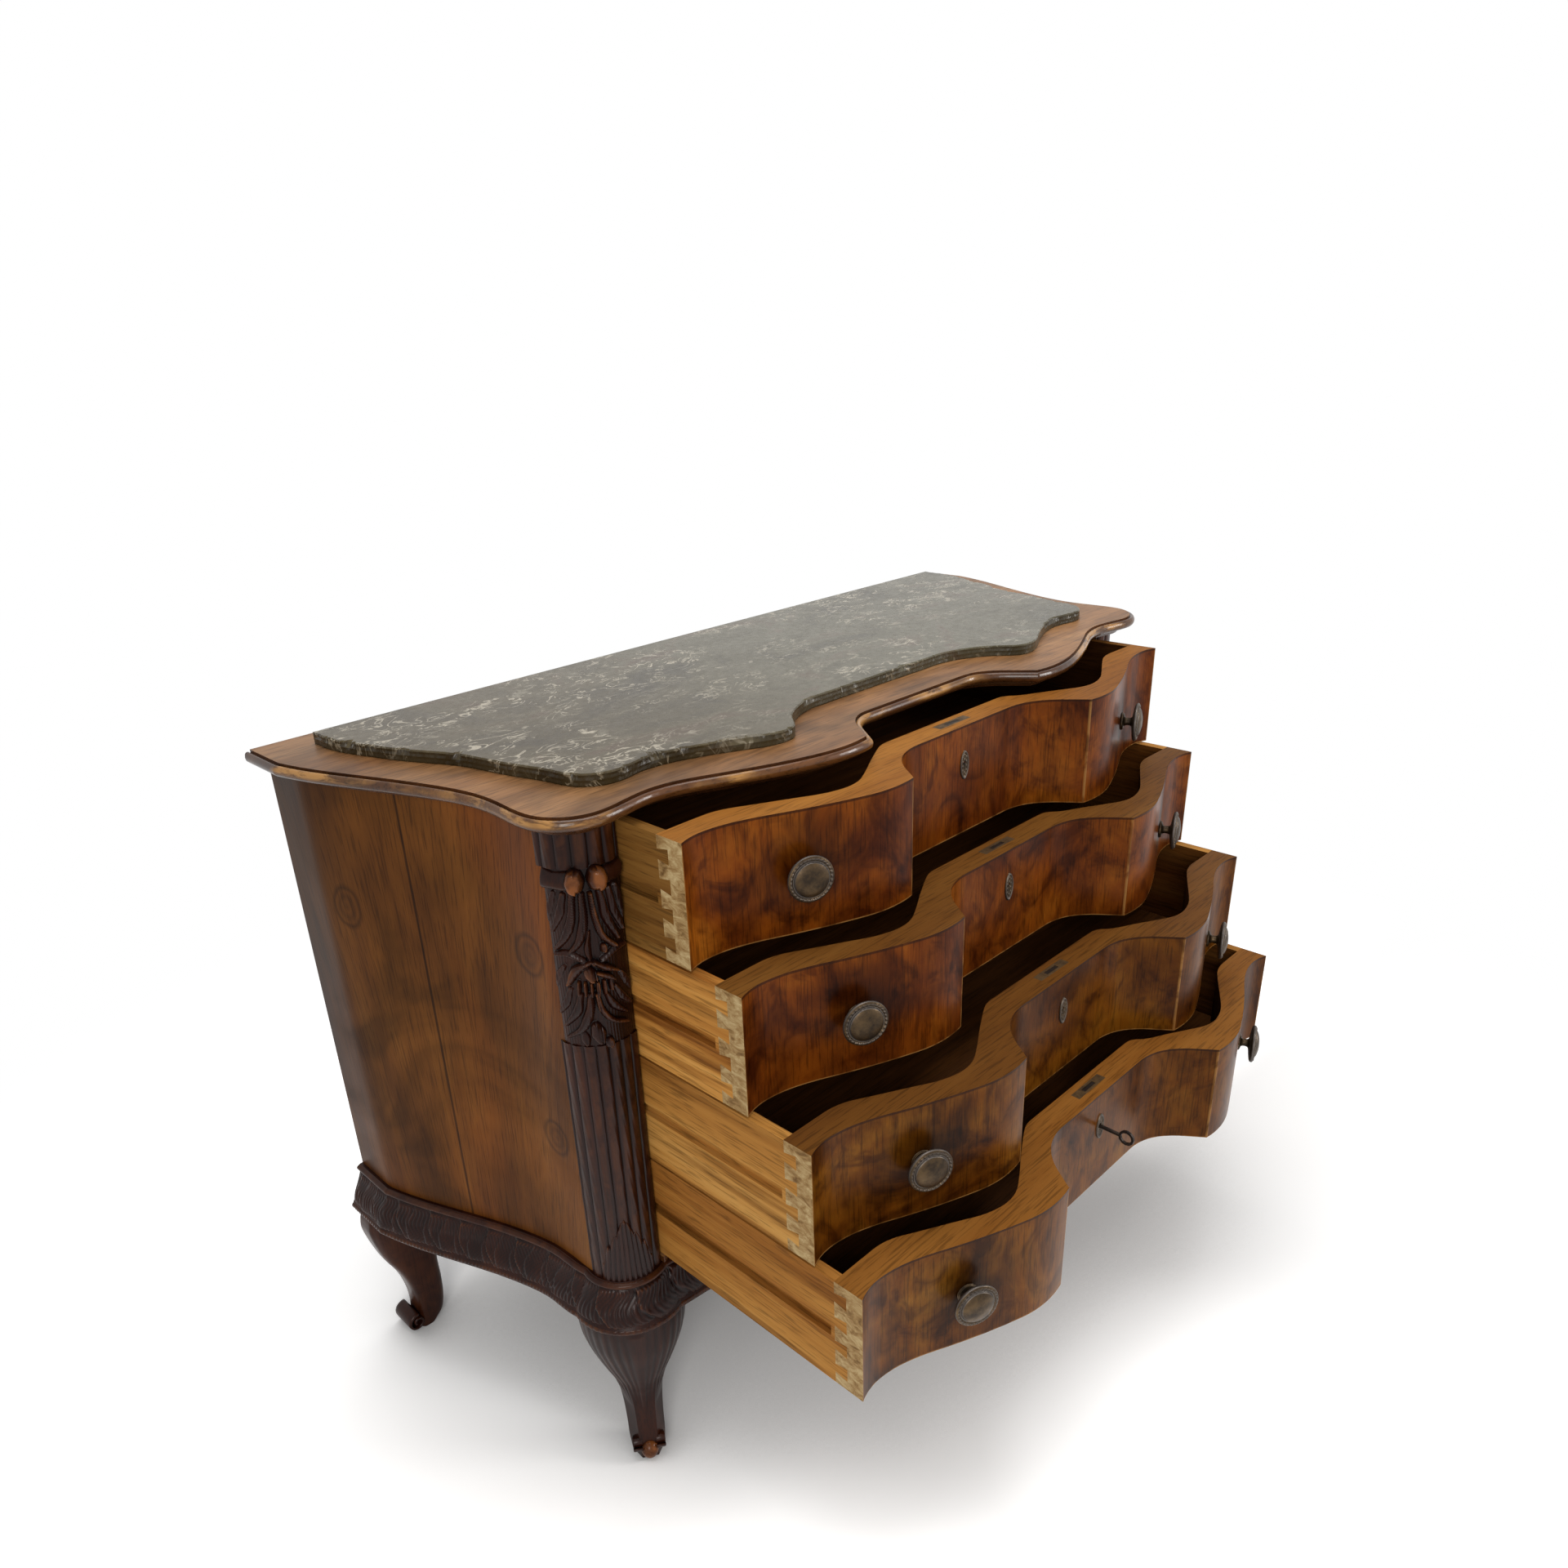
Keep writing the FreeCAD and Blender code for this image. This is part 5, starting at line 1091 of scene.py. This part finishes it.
# Top board: how far in from its outermost line and how high above its underside its nose
# runs, in millimetres; where the flat field ends above it; the level at which the packed
# board's plan is read above its underside; and by row of the nose how rubbed it is, below 0
# in the quirk under the field's edge, which gets painted shade.
NOSE_PROFILE = (
    (7.9, 11.2), (7, 11.4), (5.6, 12.5), (3.6, 12.9), (1.6, 11.6), (0.3, 9), (0, 6.6), (0.7, 3.6),
    (2.8, 1), (5.6, 0.1), (9.1, 0),
)
FIELD_IN_MM = 7.6
TOP_PLAN_LEVEL = 0.0078
NOSE_RUB_AND_SHADE = ((0, 3, 6, 24, 30), (-1.0, -0.8, 1.0, 1.0, 0.0))


def make_top():
    """Flat field of the top board, and its rounded nose below a small step."""
    low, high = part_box("top_board")
    path, _, inward = outline_ring("top_board", low.z + TOP_PLAN_LEVEL)
    rear = path[:, 1] > high.y - 0.0005

    def moved_in(reach):
        spots = np.where(rear[:, None], path, path + inward * reach / 1000)
        limit = high.x - reach / 1000
        spots[:, 0] = np.clip(spots[:, 0], -limit, limit)
        return spots

    field = moved_in(FIELD_IN_MM)
    count = len(field)
    points = [(x, y, level) for level in (low.z + 0.0001, high.z) for x, y in field]
    faces = grid_faces(2, count, closed=True)
    left = runs_left(field)
    if not left:
        faces = [face[::-1] for face in faces]
    add_fill(points, faces, field, high.z, True)
    add_fill(points, faces, field, low.z + 0.0001, False)
    add_piece("top_field", points, faces, "top_board", finish="walnut_top")
    profile = smooth_path(NOSE_PROFILE, 44)
    rows = len(profile)
    points = [(x, y, low.z + rise / 1000) for reach, rise in profile for x, y in moved_in(reach)]
    faces = grid_faces(rows, count, closed=True)
    faces = [face for face in faces if not (rear[face[0] % count] and rear[face[1] % count])]
    first, last = np.nonzero(rear != np.roll(rear, 1))[0][:2]
    faces += [column_face(rows, count, first), column_face(rows, count, last - 1)[::-1]]
    # Rubbed along the nose's roll; painted shade in the quirk.
    worn = np.repeat(np.interp(np.arange(rows), *NOSE_RUB_AND_SHADE), count)
    add_piece("top_nose", points, faces, None, worn, left, "walnut_nose")


# Marble slab: height share and how far in its broken edge lies, in millimetres; and how
# far its rear edge is moved back.
SLAB_EDGE = ((0, 0.6), (0.10, 0), (0.32, 0.2), (0.5, 0), (0.7, 0.3), (0.88, 0.2), (1, 1.4))
SLAB_BACK = 0.010


def chip_noise(places, scale, seed):
    """Rough unevenness along the slab's edge, from -1 to 1."""
    spots = (Vector((place * scale, seed, 0.3)) for place in places)
    return np.array([noise.fractal(spot, 0.7, 2.0, 5) for spot in spots])


def make_slab():
    """Marble slab with a sawn face and a rough, chipped edge."""
    low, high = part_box("marble_slab")
    path, along, inward = outline_ring("marble_slab", (low.z + high.z) / 2)
    rear = path[:, 1] > high.y - 0.001
    path[rear, 1] += SLAB_BACK
    chips = np.clip(chip_noise(along, 45, 1), 0, None) ** 2 * 9
    chips += np.clip(chip_noise(along, 14, 2) - 0.25, 0, None) * 8
    points = []
    for row, (share, inset) in enumerate(SLAB_EDGE):
        rough = np.abs(chip_noise(along, 60, 3 + row * 0.2)) * 0.5
        reach = np.where(rear, 0, inset + rough + chips * max(0, share - 0.45) * 1.4)
        drop = np.where(rear, 0, np.minimum(rough * 0.4, 0.6)) * (share == 1)
        x, y = (path + inward * reach[:, None] / 1000).T
        points += list(zip(x, y, low.z + (high.z - low.z) * share - drop / 1000))
    inner = path + inward * np.where(rear, 0.5, 3 + chips)[:, None] / 1000
    points += [(x, y, high.z) for x, y in inner]
    faces = grid_faces(len(SLAB_EDGE) + 1, len(path), closed=True)
    if not runs_left(path):
        faces = [face[::-1] for face in faces]
    add_fill(points, faces, inner, high.z, True)
    add_fill(points, faces, [point[:2] for point in points[:len(path)]], low.z, False)
    add_piece("slab", points, faces, "marble_slab", finish="marble", smooth=False)


# Side veneer: how thick it is, how far it stands off the boards, and its margins in
# depth and height.
VENEER_THICK = 0.0012
VENEER_OFF = 0.0007
VENEER_MARGINS = (0.0005, 0.0003, 0.0002)


def outer_reach(loop, depth):
    """How far from the middle plane an outline reaches at one depth."""
    ends = np.roll(loop, -1, axis=0)
    run = ends[:, 1] - loop[:, 1]
    hit = ((loop[:, 1] - depth) * (ends[:, 1] - depth) <= 0) & (np.abs(run) > 1e-9)
    share = (depth - loop[hit, 1]) / run[hit]
    return np.abs(loop[hit, 0] + share * (ends[hit, 0] - loop[hit, 0])).max()


def make_veneer_sheet(side, sign):
    """One sheet of veneer over a side panel and the rear post behind it."""
    low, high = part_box("side_panel_" + side)
    ahead, behind, around = VENEER_MARGINS
    middle = (low.z + high.z) / 2
    panel, post = (plan_outline(name + side, middle) for name in ("side_panel_", "rear_post_"))
    edge = panel[:, 1].max()
    depths = np.linspace(low.y + ahead, post[:, 1].max() - behind, 110)
    reach = np.array([outer_reach(panel if depth < edge else post, depth) for depth in depths])
    soften(reach, 6)
    outer, inner = (
        list(zip(sign * (reach + off), depths)) for off in (VENEER_OFF, VENEER_OFF - VENEER_THICK)
    )
    levels = (low.z + around, high.z - around)
    points = [(x, y, level) for line in (outer, outer + inner[::-1]) for level in levels for x, y in line]
    count = 2 * len(depths)
    faces = grid_faces(2, len(depths))
    faces += grid_faces(2, count, closed=True, start=count)[len(depths) - 1:]
    faces += [range(count, 2 * count)[::-1], range(2 * count, 3 * count)]
    add_piece("side_veneer_" + side, points, faces, flip=sign > 0, finish="walnut_side")


# Escutcheons: half width and half height, how proud their rim stands and how deep their
# keyhole and edge go, in millimetres; and the keyhole's round, its place and its slot.
PLATE_HALF_MM = (8.0, 18.5)
PLATE_RIM_MM = 1.3
KEYHOLE_DEPTH_MM = 1.4
PLATE_EDGE_MM = 0.6
KEYHOLE_MM = (2.3, 2.0, 1.0, -6.0)


def make_escutcheon(number):
    """Pointed oval plate with a raised rim, small leaves and a keyhole."""
    node = "drawer_%d_escutcheon" % number
    low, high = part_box(node)
    around, share = np.meshgrid(full_turn(96), np.linspace(0, 1, 34))
    across = PLATE_HALF_MM[0] * share * np.cos(around) * np.abs(np.cos(around)) ** 0.25
    up = PLATE_HALF_MM[1] * share * np.sin(around)
    rim = np.clip(1 - np.abs(share - 0.90) / 0.10, 0, None) ** 0.5 * PLATE_RIM_MM
    leaves = 0.55 * np.clip(np.sin(up * 1.15) * np.cos(across * 0.9), 0, None) * (share < 0.8)
    radius, centre, half, bottom = KEYHOLE_MM
    hole = (np.abs(across) < half) & (up < centre) & (up > bottom)
    hole |= np.hypot(across, up - centre) < radius
    rise = np.where(hole, -KEYHOLE_DEPTH_MM, 0.5 + rim + leaves)
    rise[-1] = -PLATE_EDGE_MM
    points = grid_points(across, low.y * 1000 + PLATE_RIM_MM - rise, (low.z + high.z) * 500 + up)
    # Rubbed on the rim and leaves; the keyhole below 0 for painted shade.
    worn = np.where(hole, -1, np.clip(rim / PLATE_RIM_MM * 0.9 + leaves, 0, 1))
    add_piece(
        "plate_%d" % number, points, grid_faces(*rise.shape, closed=True), node, worn,
        finish="bronze", body="drawer_%d" % number,
    )


def make_pieces():
    """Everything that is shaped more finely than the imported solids."""
    for side, sign in SIDES.items():
        make_carving(side, sign)
        make_post_reeds(side, sign)
        make_veneer_sheet(side, sign)
        make_front_leg(side, sign)
        make_toe(side, sign)
        make_rear_leg(side, sign)
    for number in DRAWERS:
        make_knobs(number)
        make_escutcheon(number)
    make_base_band()
    make_top()
    make_slab()


# Room: the floor's size and how far it lies below the feet, how near to the chest its painted
# shade reaches, and the strength of the daylight.
FLOOR_SIZE = 60.0
FLOOR_GAP = 0.0005
SHADE_REACH = 0.68
DAYLIGHT = 0.30
WHITE = (1, 1, 1)


def make_floor():
    """White floor with the chest's real shadow, deepened by painted shade near and under it and to its
    front right, and gone far away.
    """
    bpy.ops.mesh.primitive_plane_add(size=FLOOR_SIZE, location=(0, 0, -FLOOR_GAP))
    floor = bpy.context.object
    floor.name = "floor"
    shader = Shader("floor")
    shader.finish((0.86, 0.86, 0.86), 1, 0)
    # Painted shade where the chest hides the floor from around.
    near = shader.add("AmbientOcclusion", {"Distance": SHADE_REACH}, "AO")
    share = shader.ramp(near, ((0, 0.24), (0.45, 0.50), (0.80, 0.97), (1, 1)))
    x, y, z = shader.parts(shader.position)
    # Painted shade to the front right and painted light to the front left.
    front = shader.step(y, -0.25, -0.40)
    right = shader.step(x, -0.05, 0.45) * front
    left = shader.step(x, -0.25, -0.45) * front
    share = share * left.sum("MULTIPLY_ADD", 0.2, right.sum("MULTIPLY_ADD", -0.35, 1))
    tone = shader.add("CombineXYZ", enumerate([share * 1.5] * 3))
    grey = shader.add("BsdfDiffuse", {"Color": tone})
    lift = shader.add("Emission", {"Color": WHITE, "Strength": share * 0.14})
    both = shader.add("AddShader", {0: grey, 1: lift})
    white = shader.add("Emission", {"Color": WHITE, "Strength": 1})
    far = shader.step(shader.distance(x, y, z), 0.8, 1.7)
    pale = shader.add("MixShader", {0: far, 1: both, 2: white})
    surface = Value(shader, shader.surface, 0)
    shown = shader.add("MixShader", {0: shader.seen(), 1: surface, 2: pale})
    shader.join(shown, shader.tree.nodes["Material Output"].inputs["Surface"])
    floor.data.materials.append(shader.material)
    floor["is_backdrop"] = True


def make_world():
    """Soft grey daylight that the camera and reflections see as white."""
    world = bpy.data.worlds.new("daylight")
    bpy.context.scene.world = world
    world.use_nodes = True
    world.node_tree.nodes.clear()
    nodes = Nodes(world.node_tree)
    strength = nodes.add("MapRange", {"Value": nodes.seen(), "To Min": DAYLIGHT, "To Max": 1})
    light = nodes.add("Background", {"Color": WHITE, "Strength": strength})
    nodes.add("OutputWorld", {"Surface": light})


# Lamps: place, point looked at, width and height, power and colour.
LAMPS = {
    "overhead": ((-0.1, -0.2, 3.2), (0.0, -0.1, 0.5), (1.8, 1.5), 40.0, WHITE),
    "window_left": ((-2.6, -2.2, 1.9), (-0.2, -0.2, 0.5), (1.1, 1.6), 52.0, (1, 0.98, 0.95)),
    "window_right": ((2.2, -2.8, 1.7), (0.2, -0.3, 0.5), (0.8, 1.3), 58.0, (1, 0.98, 0.96)),
}


def make_lights():
    """Soft rectangular lamps."""
    for name, (place, target, size, power, colour) in LAMPS.items():
        lamp = bpy.data.lights.new(name, "AREA")
        lamp.shape = "RECTANGLE"
        lamp.size, lamp.size_y = size
        lamp.energy = power
        lamp.color = colour
        holder = bpy.data.objects.new(name, lamp)
        bpy.context.collection.objects.link(holder)
        holder.location = place
        look = Vector(target) - Vector(place)
        holder.rotation_euler = look.to_track_quat("-Z", "Y").to_euler()


def make_camera():
    """The photograph's camera."""
    camera = bpy.data.cameras.new("camera")
    camera.lens = CAMERA_LENS_MM
    camera.sensor_width = CAMERA_SENSOR_MM
    camera.shift_x, camera.shift_y = CAMERA_SHIFT
    holder = bpy.data.objects.new("camera", camera)
    bpy.context.collection.objects.link(holder)
    tilt, roll, heading = (math.radians(angle) for angle in CAMERA_TURN_DEG)
    turn = Matrix.Rotation(heading, 4, "Z") @ Matrix.Rotation(tilt, 4, "X")
    turn = turn @ Matrix.Rotation(roll, 4, "Z")
    holder.matrix_world = Matrix.Translation(CAMERA_PLACE) @ turn
    bpy.context.scene.camera = holder


finishes = make_materials()
paint()
make_pieces()
make_floor()
make_world()
make_lights()
make_camera()
bpy.context.scene.view_settings.view_transform = "Standard"

sizes = {"cad": cad_box, "visual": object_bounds()}
{key: [list(corner) for corner in box] for key, box in sizes.items()}
